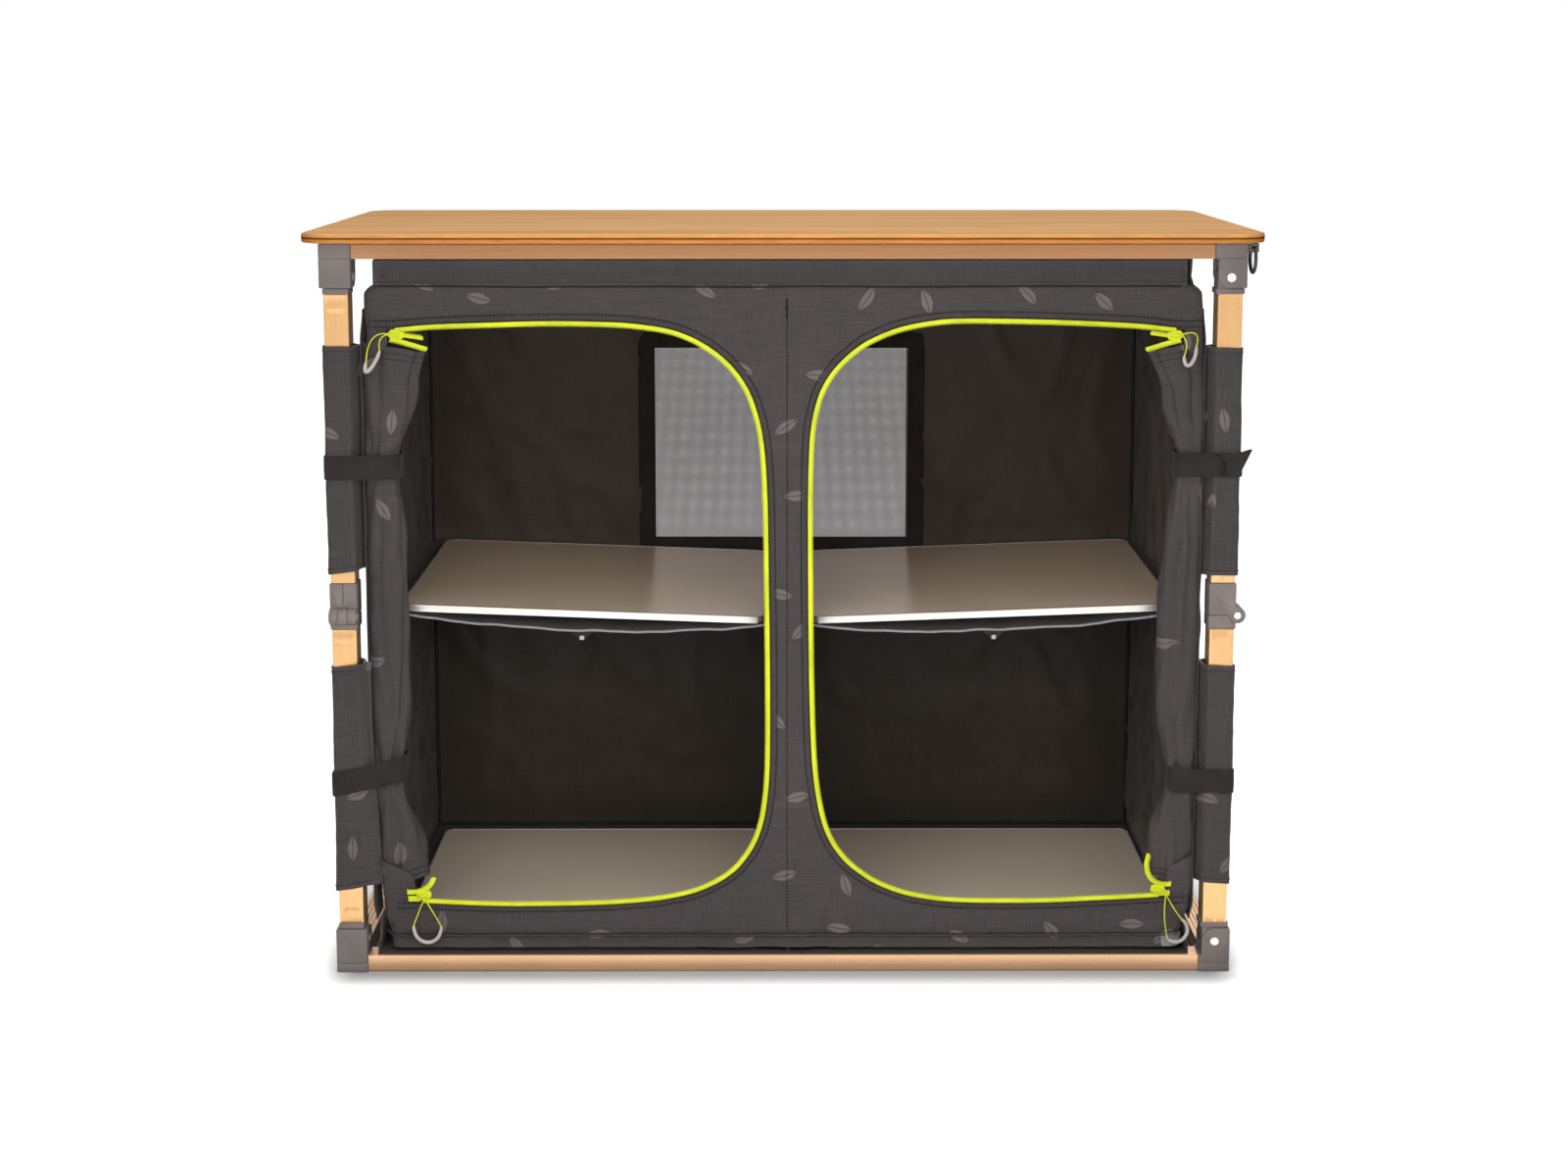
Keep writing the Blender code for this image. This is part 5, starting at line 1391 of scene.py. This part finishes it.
def addSlings():
    for side, word in ((-1, "left"), (1, "right")):
        near, far = cabinet["seam"] + side * 0.0016, side * (cabinet["half"] - 0.0030)
        front, back = yAt(sling["front"]), yAt(sling["back"])
        outline = boxLoop((min(near, far), front), (max(near, far), back), 0.008)
        cloth = clothPlate(f"{word}Sling", outline, [], 0.009,
                           lambda x, y, d: (x, y + 0.0012 * wobble(x, 0, 0, 12, 73), slingHeight(side, x, y) - d),
                           sling["thick"], finishes["floorCloth"])
        finishPiece(cloth, "base", ["cabinet"], fold=True)
        steps = [near + (far - near) * i / 90 for i in range(91)]
        line = [(x, front + 0.0012 * wobble(x, 0, 0, 12, 73) - 0.0008, slingHeight(side, x, front) - 0.0004) for x in steps]
        rim = band(f"{word}SlingBinding", line, [(0, -1, 0.25)] * len(line), 0.0024, 0.0016, finishes["binding"],
                   crown=0.0002)
        finishPiece(rim, "base", fold=True)
        middle = cabinet["seam"] + side * shelfBoard["reach"]
        tape = [(middle, front + 0.004 + 0.35 * i / 30, slingHeight(side, middle, front + 0.35 * i / 30) - 0.0020)
                for i in range(31)]
        zipTape = band(f"{word}SlingTape", tape, [(0, 0, -1)] * 31, 0.024, 0.0012, finishes["webbing"])
        finishPiece(zipTape, "base", fold=True)
        deep = tape[0][2]
        flap = [(-0.016, 0.0010), (-0.010, -0.0012), (-0.0045, -0.0062), (0.0045, -0.0068), (0.009, -0.0015),
                (0.017, 0.0008)]
        loop = [(p.x, p.z) for p in resample([(x, 0, z) for x, z in flap], 0.002, closed=True)]
        hanging = clothPlate(f"{word}SlingFlap", loop, [], 0.003, lambda x, z, d: (middle + x, front - 0.0016 + d, deep + z),
                             0.0010, finishes["webbing"])
        finishPiece(hanging, "base", fold=True)
        end = block(f"{word}SlingEnd", (middle - 0.0026, front - 0.0036, deep - 0.0080),
                    (middle + 0.0024, front - 0.0014, deep - 0.0036), 0.0008, finishes["grip"], 2)
        finishPiece(end, "base", fold=True)


# A board with a skin, a bright front rail, and a thin bright rim round its other sides.
def boardPiece(name, half, corner, thick, finish):
    low, high = -thick / 2, thick / 2
    outline = roundRect(half[0] - 0.0008, half[1] - 0.0008, corner, 6)
    outline = [(x, y) for x, y in outline]
    rings = [[(x, y, z) for x, y in outline] for z in (low + 0.0003, high - 0.0002)]
    skin = stack(name + "Skin", rings, finish, sharp=30)
    parts = [skin]
    rim = roundRect(half[0], half[1], corner, 6)
    rail = [(x, y) for x, y in rim]
    for i, z in enumerate((high - 0.0006, low + 0.0008)):
        parts.append(tube(f"{name}Rim{i}", [(x, y, z) for x, y in rail], 0.0008, finishes["edging"], 6, closed=True))
    front = block(name + "Front", (-half[0] + corner * 0.4, -half[1] - 0.0005, low - 0.0002),
                  (half[0] - corner * 0.4, -half[1] + 0.0040, high + 0.0003), 0.0006, finishes["edging"], 2)
    parts.append(front)
    return gather(name, parts)


base = {"half": (0.1940, 0.1860), "reach": 0.2275, "front": 0.0360, "low": 0.0203}


def addBoards():
    for side, word in ((-1, "left"), (1, "right")):
        board = boardPiece(f"{word}ShelfBoard", shelfBoard["half"], 0.014, shelfBoard["thick"],
                           finishes["shelf"])
        place = Vector((cabinet["seam"] + side * shelfBoard["reach"], yAt(shelfBoard["front"]) + shelfBoard["half"][1],
                        shelfBoard["height"]))
        board.matrix_world = Matrix.Translation(place) @ Matrix.Rotation(math.radians(-side * shelfBoard["tilt"]), 4, "Y")
        finishPiece(board, f"{word}_shelf", [f"{word}_hanging_shelf"])
        board = boardPiece(f"{word}BaseBoardPiece", base["half"], 0.012, 0.0070, finishes["baseBoard"])
        board.location = (cabinet["seam"] + side * base["reach"], yAt(base["front"]) + base["half"][1], base["low"] + 0.0035)
        finishPiece(board, "base", [f"{word}_base_board"])


addBackWall()
addSideWalls()
addDoorStrips()
addFloorAndMiddle()
addPiping()
addSlings()
addBoards()
print("cabinet, slings and boards stand")


sleeve = {"gap": 0.0013, "thick": 0.0011, "corner": 0.0045}
# Per corner and level: low and high ends, fin reach at both ends, fin set towards the front, and the slant of both ends.
sleeveCuts = {("front_left", "upper"): (0.4335, 0.6740, 0.0262, 0.0262, -0.002, 0.15, 0.0),
              ("front_left", "lower"): (0.0905, 0.3345, 0.0330, 0.0262, 0.008, 0.16, 0.10),
              ("front_right", "upper"): (0.4320, 0.6715, 0.0272, 0.0272, -0.002, 0.0, 0.05),
              ("front_right", "lower"): (0.0965, 0.3345, 0.0268, 0.0268, -0.002, 0.10, 0.05),
              ("back_left", "upper"): (0.4335, 0.6730, 0.0265, 0.0265, 0.0, 0.05, 0.0),
              ("back_left", "lower"): (0.0930, 0.3345, 0.0275, 0.0265, 0.0, 0.05, 0.0),
              ("back_right", "upper"): (0.4335, 0.6730, 0.0265, 0.0265, 0.0, 0.05, 0.0),
              ("back_right", "lower"): (0.0930, 0.3345, 0.0275, 0.0265, 0.0, 0.05, 0.0)}


# Half of a sleeve's section as (towards the cabinet, towards its front), from the fin round the outer corner.
def sleeveSection(reach, finAt, inset):
    half = leg["half"] + sleeve["gap"] - inset * 0.6
    finHalf = max(0.0012 - inset, 0.0002)
    end = reach - inset * (1 if inset == 0 else 6)
    points = []

    def side(sign):
        rows = []
        for i in range(13):
            t = i / 12
            u = end + (half - 0.004 - end) * t
            mix = smoothStep(t, 0.18, 1.0) if end > half else 1.0
            v = finAt + sign * finHalf + (sign * half - finAt - sign * finHalf) * mix
            rows.append((u, v))
        for i in range(1, 6):
            rows.append((half - 0.004 + (-half + sleeve["corner"] - half + 0.004) * i / 5, sign * half))
        for i in range(1, 7):
            a = math.radians(90 * i / 6)
            rows.append((-half + sleeve["corner"] - sleeve["corner"] * math.sin(a),
                         sign * (half - sleeve["corner"] + sleeve["corner"] * math.cos(a))))
        return rows

    front, back = side(1), side(-1)
    for i in range(1, 5):
        points.append((-half, (half - sleeve["corner"]) * (1 - 2 * i / 5)))
    return front + points + back[::-1]


def addSleeve(corner, level):
    low, high, lowReach, highReach, finAt, lowSlant, highSlant = sleeveCuts[(corner, level)]
    side, end, turn = cornerTurns[corner]
    x0, y0 = side * legAt["x"], end * legAt["y"]
    seed = (side + 2) * 3 + (end + 2) * 5 + (11 if level == "upper" else 0)
    count = 46
    shells = []
    lines = {"low": [], "high": []}
    for inset in (0.0, sleeve["thick"]):
        rings = []
        for k in range(count + 1):
            share = k / count
            reach = lowReach + (highReach - lowReach) * smoothStep(share, 0.0, 0.8)
            flare = 0.0006 * (math.exp(-share * 18) + math.exp(-(1 - share) * 18))
            ring = []
            for u, v in sleeveSection(reach, finAt, inset):
                z = low + (high - low) * share
                z += lowSlant * (u + leg["half"]) * (1 - share) + highSlant * (u + leg["half"]) * share
                z += 0.0011 * wobble(u * 2, v * 2, share * 0.3, 30, seed) * (abs(share - 0.5) * 2) ** 3
                bulge = 0.0008 + 0.0016 * wobble(u, v, z * 0.45, 34, seed + 3) + 0.0006 * wobble(u, v, z, 60, seed + 5)
                bulge = max(bulge, 0.0) * smoothStep(reach - u, 0.0, 0.008)
                drape = 0.0012 * (1 + math.sin(150 * u + 14 * z + seed)) * smoothStep(u, 0.004, 0.015)
                drape *= smoothStep(reach - u, 0.0, 0.006) * (1 if v > 0 else -1)
                length = max(math.hypot(min(u, 0.016), v), 0.004)
                u2 = u + (bulge + flare) * min(u, 0.016) / length
                v2 = v + (bulge + flare) * v / length + drape
                ring.append(Vector((x0 - side * u2, y0 + end * v2, z)))
            rings.append(ring)
        shells.append(rings)
    rings = shells[0] + shells[1][::-1]
    cloth = stack(f"{corner}_{level}SleeveCloth", rings, finishes["outer"], closed=True, sharp=60)
    body = f"{corner}_{level}"
    finishPiece(cloth, body, [f"{corner}_{level}_sleeve"])
    rows = []
    for k in (1, count - 1):
        line, skin = [], shells[0][k]
        for i in range(6, len(skin) - 6):
            outward = (skin[i] - Vector((x0, y0, skin[i].z))).normalized()
            line.append(skin[i] + outward * 0.0002)
        for a, b in zip(line, line[1:]):
            outward = ((a + b) / 2 - Vector((x0, y0, a.z))).normalized()
            if (b - a).length > 0.0012:
                rows.append(([a, b], outward))
    sewn = stitches(f"{corner}_{level}SleeveStitches", rows, finishes["thread"], 0.0024, 0.0010, 0.0003)
    finishPiece(sewn, body)


for corner in cornerTurns:
    for level in ("lower", "upper"):
        addSleeve(corner, level)
print("sleeves sit on the legs")


rolled = {"turns": 4.6, "spacing": 0.120, "thick": 0.0009, "levels": 96, "around": 200, "frontGap": 0.0062}
# Height, outer x, inner x and half depth of the rolled doors, from the floor up.
rolls = {"left": {"side": -1, "low": (0.0946, 0.1045), "high": (0.6775, 0.6670),
                  "rows": [(0.090, -0.4306, -0.3750, 0.0125), (0.130, -0.4316, -0.3800, 0.0130),
                           (0.206, -0.4326, -0.4040, 0.0115), (0.300, -0.4356, -0.3945, 0.0140),
                           (0.386, -0.4371, -0.3930, 0.0145), (0.470, -0.4366, -0.3945, 0.0140),
                           (0.547, -0.4351, -0.4010, 0.0115), (0.630, -0.4356, -0.3790, 0.0140),
                           (0.680, -0.4356, -0.3680, 0.0130)]},
         "right": {"side": 1, "low": (0.0960, 0.1035), "high": (0.6790, 0.6680),
                   "rows": [(0.095, 0.4372, 0.3860, 0.0125), (0.150, 0.4387, 0.3910, 0.0130),
                            (0.211, 0.4392, 0.4075, 0.0115), (0.300, 0.4402, 0.3930, 0.0140),
                            (0.386, 0.4407, 0.3925, 0.0145), (0.480, 0.4407, 0.4010, 0.0135),
                            (0.552, 0.4407, 0.4110, 0.0110), (0.620, 0.4392, 0.3930, 0.0140),
                            (0.680, 0.4372, 0.3750, 0.0130)]}}


# How wide the flat door is at a share of its height.
def doorWidth(share):
    z = door["lowerZ"] + (door["upperZ"] - door["lowerZ"]) * share
    inner = door["upperX"] - door["upperR"]
    if z > door["upperMid"]:
        inner = door["upperX"] - math.sqrt(max(door["upperR"] ** 2 - (z - door["upperMid"]) ** 2, 0))
    elif z < door["lowerMid"]:
        inner = door["lowerX"] - math.sqrt(max(door["lowerR"] ** 2 - (door["lowerMid"] - z) ** 2, 0))
    return door["upperReach"] - inner


# A point of a rolled door: the turn runs from the hinge side over the front to the free side and on, ever further in.
def rollPoint(roll, turn, share, depth=0.0, lift=0.0):
    side = roll["side"]
    c, s = math.cos(turn), math.sin(turn)
    towards = (1 - c) / 2
    low = roll["low"][0] + (roll["low"][1] - roll["low"][0]) * towards
    high = roll["high"][0] + (roll["high"][1] - roll["high"][0]) * towards
    z = low + (high - low) * share + 0.0008 * wobble(c, s, share, 2.2, side * 7)
    outer, inner, deep = along(roll["rows"], z)
    half = abs(outer - inner) / 2
    ratio = 1 - rolled["spacing"] * turn / (2 * math.pi)
    ends = (abs(share - 0.5) * 2) ** 6
    ratio -= 0.010 * ends * wobble(turn, 0, 0, 1.5, 4)
    fold = 1.9 + 2.6 * (z - 0.30) + 0.5 * math.sin(7 * z + side)
    first = (turn % (2 * math.pi)) - fold
    free = smoothStep(abs(z - 0.547), 0.0, 0.03) * smoothStep(abs(z - 0.209), 0, 0.03)
    crease = 0.250 * math.exp(-(first / 0.20) ** 2) * free
    second = (turn % (2 * math.pi)) - 1.0 - 1.3 * math.exp(-abs(z - 0.24) * 14) - 0.5 * math.exp(-abs(z - 0.52) * 20)
    crease += 0.190 * math.exp(-(second / 0.17) ** 2)
    lump = 0.085 * wobble(c, s, z * 9, 0.9, side * 3) + 0.035 * wobble(c, s, z * 26, 1.4, side * 5)
    pinch = 0.16 * (math.exp(-((z - 0.575) / 0.012) ** 2) + math.exp(-((z - 0.240) / 0.012) ** 2))
    lump += pinch * wobble(c * 2, s * 2, z * 40, 1.6, 9 + side)
    for tied in (0.547, 0.209):
        lump += 0.120 * math.exp(-abs(z - tied) * 13) * math.sin(5 * turn + 70 * (z - tied) * (1 if z > tied else -1) + side)
    ratio = ratio * (1 + lump - crease)
    bend = 0.95
    x = math.copysign(abs(c) ** bend, c) * (half * ratio - depth)
    y = math.copysign(abs(s) ** bend, s) * (deep * ratio - depth)
    grow = lift / max(math.hypot(c, s), 0.5)
    middle = (outer + inner) / 2
    return Vector((middle + side * (x + grow * c), yAt(rolled["frontGap"]) + deep - y - grow * s, z))


def addRoll(word):
    roll = rolls[word]
    levels, around = rolled["levels"], rolled["around"]
    widest = doorWidth(0.5)
    points, faces = [], []
    for k in range(levels + 1):
        share = k / levels
        spread = 0.5 - 0.5 * math.cos(math.pi * share)
        share = share * 0.6 + spread * 0.4
        end = 2 * math.pi * rolled["turns"] * doorWidth(share) / widest
        for depth in (0.0, rolled["thick"]):
            points += [rollPoint(roll, end * i / around, share, depth) for i in range(around + 1)]
    row = around + 1
    for k in range(levels):
        for i in range(around):
            a, b = 2 * k * row + i, 2 * (k + 1) * row + i
            faces += [(a, a + 1, b + 1, b), (a + row + 1, a + row, b + row, b + row + 1)]
        for i in (0, around):
            a, b = 2 * k * row + i, 2 * (k + 1) * row + i
            faces.append((a, b, b + row, a + row))
    for k in (0, levels):
        for i in range(around):
            a = 2 * k * row + i
            faces.append((a, a + row, a + row + 1, a + 1))
    cloth = newPiece(f"{word}DoorCloth", points, faces, finishes["outer"], sharp=60)
    finishPiece(cloth, "base", [f"{word}_rolled_door"], fold=True)
    rows = []
    tall = roll["high"][0] - roll["low"][0]
    for share in (0.0050 / tall, 0.0115 / tall, 1 - 0.0065 / tall, 1 - 0.0125 / tall):
        line = [rollPoint(roll, 0.25 + 2.9 * i / 60, share, 0, 0.0002) for i in range(61)]
        for a, b in zip(line, line[1:]):
            middle = (a + b) / 2
            centre = rollPoint(roll, 1.5, share, 0.0) + Vector((0, 0.013, 0))
            rows.append(([a, b], (middle - centre).normalized()))
    sewn = stitches(f"{word}DoorStitches", rows, finishes["thread"], 0.0024, 0.0008, 0.0003)
    finishPiece(sewn, "base", fold=True)


for word in rolls:
    addRoll(word)
print("doors are rolled")


zipChain = {"y": -0.2349, "width": 0.0040, "thick": 0.0022, "tooth": (0.0011, 0.0019, 0.0019), "pitch": 0.0021}


# One half of a zip: a cord-like edge and a row of teeth beyond it. inward points to the teeth.
def zipHalf(name, line, inward, normal=(0, -1, 0), width=None):
    width = width or zipChain["width"]
    path = resample(line, 0.003)
    parts = [band(name + "Edge", path, [normal] * len(path), width, zipChain["thick"], finishes["lime"], crown=0.0004)]
    long, reach, thick = zipChain["tooth"]
    points, faces = [], []
    normal = Vector(normal).normalized()
    for a, b in zip(*(lambda q: (q, q[1:]))(resample(line, zipChain["pitch"]))):
        heading = (b - a).normalized()
        across = heading.cross(normal).normalized() * inward
        first = len(points)
        root = a + across * (width / 2 - 0.0003)
        for out, share in ((0.0, 1.0), (0.6, 0.95), (1.0, 0.55)):
            spot = root + across * reach * out
            for p, q in ((-1, -1), (1, -1), (1, 1), (-1, 1)):
                points.append(spot + heading * (p * long / 2 * share) + normal * (q * thick / 2 * share))
        for k in range(2):
            for i in range(4):
                j = (i + 1) % 4
                faces.append((first + 4 * k + i, first + 4 * k + j, first + 4 * k + 4 + j, first + 4 * k + 4 + i))
        faces += [(first, first + 3, first + 2, first + 1), (first + 8, first + 9, first + 10, first + 11)]
    parts.append(newPiece(name + "Teeth", points, faces, finishes["lime"], sharp=30))
    return gather(name, parts)


def addZips():
    for word, side in (("left", -1), ("right", 1)):
        line = [(x, zipChain["y"] + 0.0007 * wobble(x, 0, z, 14, 80), z) for x, z in doorLine(side, 0.0008, 0.003)]
        made = zipHalf(f"{word}ZipChain", line, -side)
        finishPiece(made, "base", [f"{word}_zip"], fold=True)
    y = zipChain["y"] - 0.0004
    tails = {"left": ([(-0.3971, y, 0.6861), (-0.3840, y - 0.0006, 0.6845), (-0.3712, y, 0.6824)],
                      [(-0.4050, y, 0.6822), (-0.3900, y - 0.0008, 0.6785), (-0.3672, y, 0.6715)], 1),
             "right": ([(0.4001, y, 0.6846), (0.3900, y - 0.0006, 0.6862), (0.3788, y, 0.6877)],
                       [(0.4095, y, 0.6812), (0.3950, y - 0.0008, 0.6775), (0.3742, y, 0.6708)], -1)}
    for word, (stub, hem, turn) in tails.items():
        parts = [zipHalf(f"{word}Stub", stub, -turn, width=0.0036), zipHalf(f"{word}HemChain", hem, turn, width=0.0040)]
        made = gather(f"{word}UpperTails", parts)
        finishPiece(made, "zip_chains")
    curls = {"left": ([(-0.4003, y, 0.0893), (-0.3935, y, 0.0890), (-0.3856, y - 0.0010, 0.0908), (-0.3790, y - 0.0016, 0.0940),
                       (-0.3745, y - 0.0006, 0.0985), (-0.3716, y + 0.003, 0.1045)], -1),
             "right": ([(0.4130, y, 0.0975), (0.4050, y, 0.0967), (0.3968, y - 0.0012, 0.0992), (0.3905, y - 0.0022, 0.1045),
                        (0.3868, y - 0.0016, 0.1110), (0.3862, y + 0.002, 0.1195), (0.3895, y + 0.007, 0.1288)], 1)}
    for word, (line, turn) in curls.items():
        made = zipHalf(f"{word}Curl", line, turn, width=0.0042)
        finishPiece(made, "base", fold=True)
    lower = {"left": (-0.3995, 0.0825, -0.3865), "right": (0.4120, 0.0880, 0.3990)}
    for word, (outer, z, inner) in lower.items():
        low, high = (min(outer, inner), y - 0.0012, z - 0.0030), (max(outer, inner), y + 0.0018, z + 0.0030)
        stop = block(f"{word}LowerStop", low, high, 0.0008, finishes["lime"], 2)
        finishPiece(stop, "base", fold=True)


sliderShape = {"long": 0.0145, "wide": 0.0105, "thick": 0.0034}
sliderAt = {("left", "upper"): (-0.3985, 0.6865, 8), ("right", "upper"): (0.4035, 0.6855, -8),
            ("left", "lower"): (-0.3820, 0.0870, -10), ("right", "lower"): (0.3985, 0.0925, 12)}


# A slider: a body that narrows to one end, a raised bridge, and a ring for the cord.
def addSliders():
    for (word, level), (x, z, tilt) in sliderAt.items():
        side = -1 if word == "left" else 1
        long, wide, thick = sliderShape["long"], sliderShape["wide"], sliderShape["thick"]
        rings = []
        for share, narrow in ((0.0, 0.70), (0.08, 0.86), (0.3, 1.0), (0.55, 1.0), (0.8, 0.80), (0.94, 0.66), (1.0, 0.50)):
            outline = roundRect(wide / 2 * narrow, thick / 2 * (0.8 if share in (0.0, 1.0) else 1.0), 0.0009, 3)
            rings.append([(long * (share - 0.5), b, a) for a, b in outline])
        body = stack("sliderBody", rings, finishes["lime"])
        bridge = tube("sliderBridge", [(-0.0052, -0.0012, 0), (-0.0048, -0.0030, 0), (-0.0028, -0.0040, 0), (0.0012, -0.0041, 0),
                                       (0.0034, -0.0030, 0), (0.0038, -0.0012, 0)], 0.0011, finishes["lime"], 8)
        eye = tube("sliderEye", [(0.0012 * math.cos(2 * math.pi * i / 16) * 1.9 - 0.0060, -0.0030 + 0.0004 * math.sin(i),
                                  0.0012 * math.sin(2 * math.pi * i / 16) * 1.9) for i in range(16)], 0.0007,
                   finishes["lime"], 6, closed=True)
        piece = gather(f"{word}{level.title()}SliderPiece", [body, bridge, eye])
        turn = Matrix.Rotation(math.radians(tilt), 4, "Y")
        flip = Matrix.Diagonal((1 if word == "left" else -1, 1, 1, 1))
        piece.data.transform(Matrix.Translation((x, zipChain["y"] - 0.0012, z)) @ turn @ flip)
        if word == "right":
            piece.data.flip_normals()
        finishPiece(piece, f"{word}_{level}_slider", [f"{word}_{level}_slider"])


# Where each cord leaves its slider, the two ends of the grip, its lowest point, and how far each cord bows.
pulls = {("left", "upper"): ((-0.4050, 0.6870), (-0.4301, 0.6572), (-0.4157, 0.6700), (-0.4272, 0.6500),
                             (-0.0052, 0.0105), (-0.0040, 0.0040)),
         ("right", "upper"): ((0.4105, 0.6862), (0.4258, 0.6738), (0.4134, 0.6640), (0.4200, 0.6555),
                              (0.0065, 0.0072), (0.0035, 0.0020)),
         ("left", "lower"): ((-0.3818, 0.0836), (-0.3940, 0.0535), (-0.3645, 0.0530), (-0.3794, 0.0350),
                             (-0.0004, 0.0), (0.0004, 0.0)),
         ("right", "lower"): ((0.4075, 0.0872), (0.4246, 0.0600), (0.4104, 0.0375), (0.4290, 0.0405),
                              (-0.0004, -0.0006), (-0.0026, 0.0))}


def addPulls():
    y = zipChain["y"] - 0.0036
    for (word, level), (start, one, two, low, bowOne, bowTwo) in pulls.items():
        parts = []
        for end, bow, k in ((one, bowOne, 0), (two, bowTwo, 1)):
            line = []
            for i in range(15):
                t = i / 14
                bulge = 4 * t * (1 - t)
                line.append((start[0] + (end[0] - start[0]) * t + bow[0] * bulge, y - 0.0008 * k * bulge,
                             start[1] + (end[1] - start[1]) * t + bow[1] * bulge))
            parts.append(tube(f"cord{k}", line, 0.00062, finishes["lime"], 7))
        parts.append(tube("knot", [(start[0] - 0.0016, y, start[1] + 0.0006), (start[0], y - 0.0006, start[1]),
                                   (start[0] + 0.0016, y, start[1] - 0.0004)], 0.00085, finishes["lime"], 7))
        middle = ((one[0] + two[0]) / 2, (one[1] + two[1]) / 2)
        push = ((low[0] - middle[0]) * 4 / 3, (low[1] - middle[1]) * 4 / 3)
        line = []
        for i in range(25):
            t = i / 24
            a, b, c, d = (1 - t) ** 3, 3 * t * (1 - t) ** 2, 3 * t * t * (1 - t), t ** 3
            line.append((a * one[0] + b * (one[0] + push[0]) + c * (two[0] + push[0]) + d * two[0], y,
                         a * one[1] + b * (one[1] + push[1]) + c * (two[1] + push[1]) + d * two[1]))
        rings = []
        heading = directions(line)
        for i, (p, go) in enumerate(zip(line, heading)):
            size = 0.0020 * (0.72 + 0.28 * smoothStep(min(i, 24 - i), 0, 2))
            across = go.cross(Vector((0, -1, 0))).normalized()
            rings.append([Vector(p) + across * size * math.cos(math.radians(30 * j)) + Vector((0, 1, 0)) * size * 0.85
                          * math.sin(math.radians(30 * j)) for j in range(12)])
        parts.append(stack("grip", rings, finishes["grip"]))
        piece = gather(f"{word}{level.title()}PullPiece", parts)
        finishPiece(piece, f"{word}_{level}_pull", [f"{word}_{level}_pull"])


addZips()
addSliders()
addPulls()
print("zips, sliders and pulls stand")


# Loops of webbing that tie each rolled door to its leg, split where the leg turns away from the cabinet.
straps = {"left_upper": (-0.4772, -0.3990, -0.4440, 0.5470, 0.5475),
          "left_lower": (-0.4775, -0.4005, -0.4440, 0.2070, 0.2240),
          "right_upper": (0.4772, 0.4088, 0.4440, 0.5500, 0.5496),
          "right_lower": (0.4772, 0.4085, 0.4440, 0.2100, 0.2118)}
strap = {"width": 0.0254, "thick": 0.0014, "front": -0.2352, "back": -0.2022, "legCorner": 0.005, "rollCorner": 0.0095}


def addStraps():
    for place, (outer, inner, split, outerZ, innerZ) in straps.items():
        word, level = place.split("_")
        side = -1 if word == "left" else 1

        def height(x):
            return outerZ + (innerZ - outerZ) * (x - outer) / (inner - outer)

        def loop(end, corner, towards):
            front, back = strap["front"], strap["back"]
            points = [(split, front)]
            for i in range(9):
                a = math.radians(90 * i / 8)
                points.append((end - towards * corner * (1 - math.sin(a)), front + corner * (1 - math.cos(a))))
            for i in range(9):
                a = math.radians(90 * i / 8)
                points.append((end - towards * corner * (1 - math.cos(a)), back - corner * (1 - math.sin(a))))
            points.append((split, back))
            return resample([(x, y, 0) for x, y in points], 0.003)

        made = {}
        for label, end, corner, towards in (("Leg", outer, strap["legCorner"], side),
                                            ("Door", inner, strap["rollCorner"], -side)):
            line, normals = [], []
            path = loop(end, corner, towards)
            centre = Vector(((split + end) / 2, (strap["front"] + strap["back"]) / 2, 0))
            heading = directions(path)
            for p, go in zip(path, heading):
                normal = Vector((go.y, -go.x, 0))
                if normal.dot(p - centre) < 0:
                    normal = -normal
                slack = 0.0006 * wobble(p.x, p.y, 0, 60, 90 + side) * smoothStep(abs(p.x - split), 0.0, 0.01)
                line.append(Vector((p.x, p.y, height(p.x))) + normal * slack)
                normals.append(normal)
            made[label] = band(f"{place}_strap{label}", line, normals, strap["width"], strap["thick"], finishes["webbing"],
                               crown=0.0003)
        finishPiece(made["Leg"], f"front_{word}_{level}")
        finishPiece(made["Door"], "base", fold=True)
    lap = [(0.4485, 0.5618), (0.4548, 0.5582), (0.4584, 0.5520), (0.4590, 0.5450), (0.4566, 0.5384)]
    tail = lap[::-1][:1] + [(0.4725, 0.5384), (0.4760, 0.5440), (0.4866, 0.5680), (0.4800, 0.5660),
                            (0.4740, 0.5630)] + lap[:-1]
    loop = [(p.x, p.z) for p in resample([(x, 0, z) for x, z in tail], 0.003, closed=True)]
    end = clothPlate("strapTail", loop, [], 0.0035,
                     lambda x, z, d: (x, strap["front"] - 0.0022 + d - 0.0035 * smoothStep(x, 0.470, 0.486), z),
                     0.0013, finishes["webbing"])
    finishPiece(end, "front_right_upper")
    # A dark cord along the curved end where one strap band lies over the other: a painted shadow line at the step.
    edge = tube("strapLapPaintedShadowLine", smoothLine([(x, strap["front"] - 0.0027, z) for x, z in lap]), 0.0005,
                finishes["thread"], 6)
    finishPiece(edge, "front_right_upper")


def addPatch():
    corners = [(0.4041, 0.0415), (0.4252, 0.0425), (0.4305, 0.0272), (0.4052, 0.0272)]
    loop = [(p.x, p.z) for p in resample([(x, 0, z) for x, z in corners], 0.003, closed=True)]
    made = clothPlate("palePatchPiece", loop, [], 0.004, lambda x, z, d: (x, panelDepth(x, z) - 0.0012 + d, z), 0.0006,
                      finishes["patch"])
    finishPiece(made, "base", fold=True)


addStraps()
addPatch()
print("straps and patch stand")
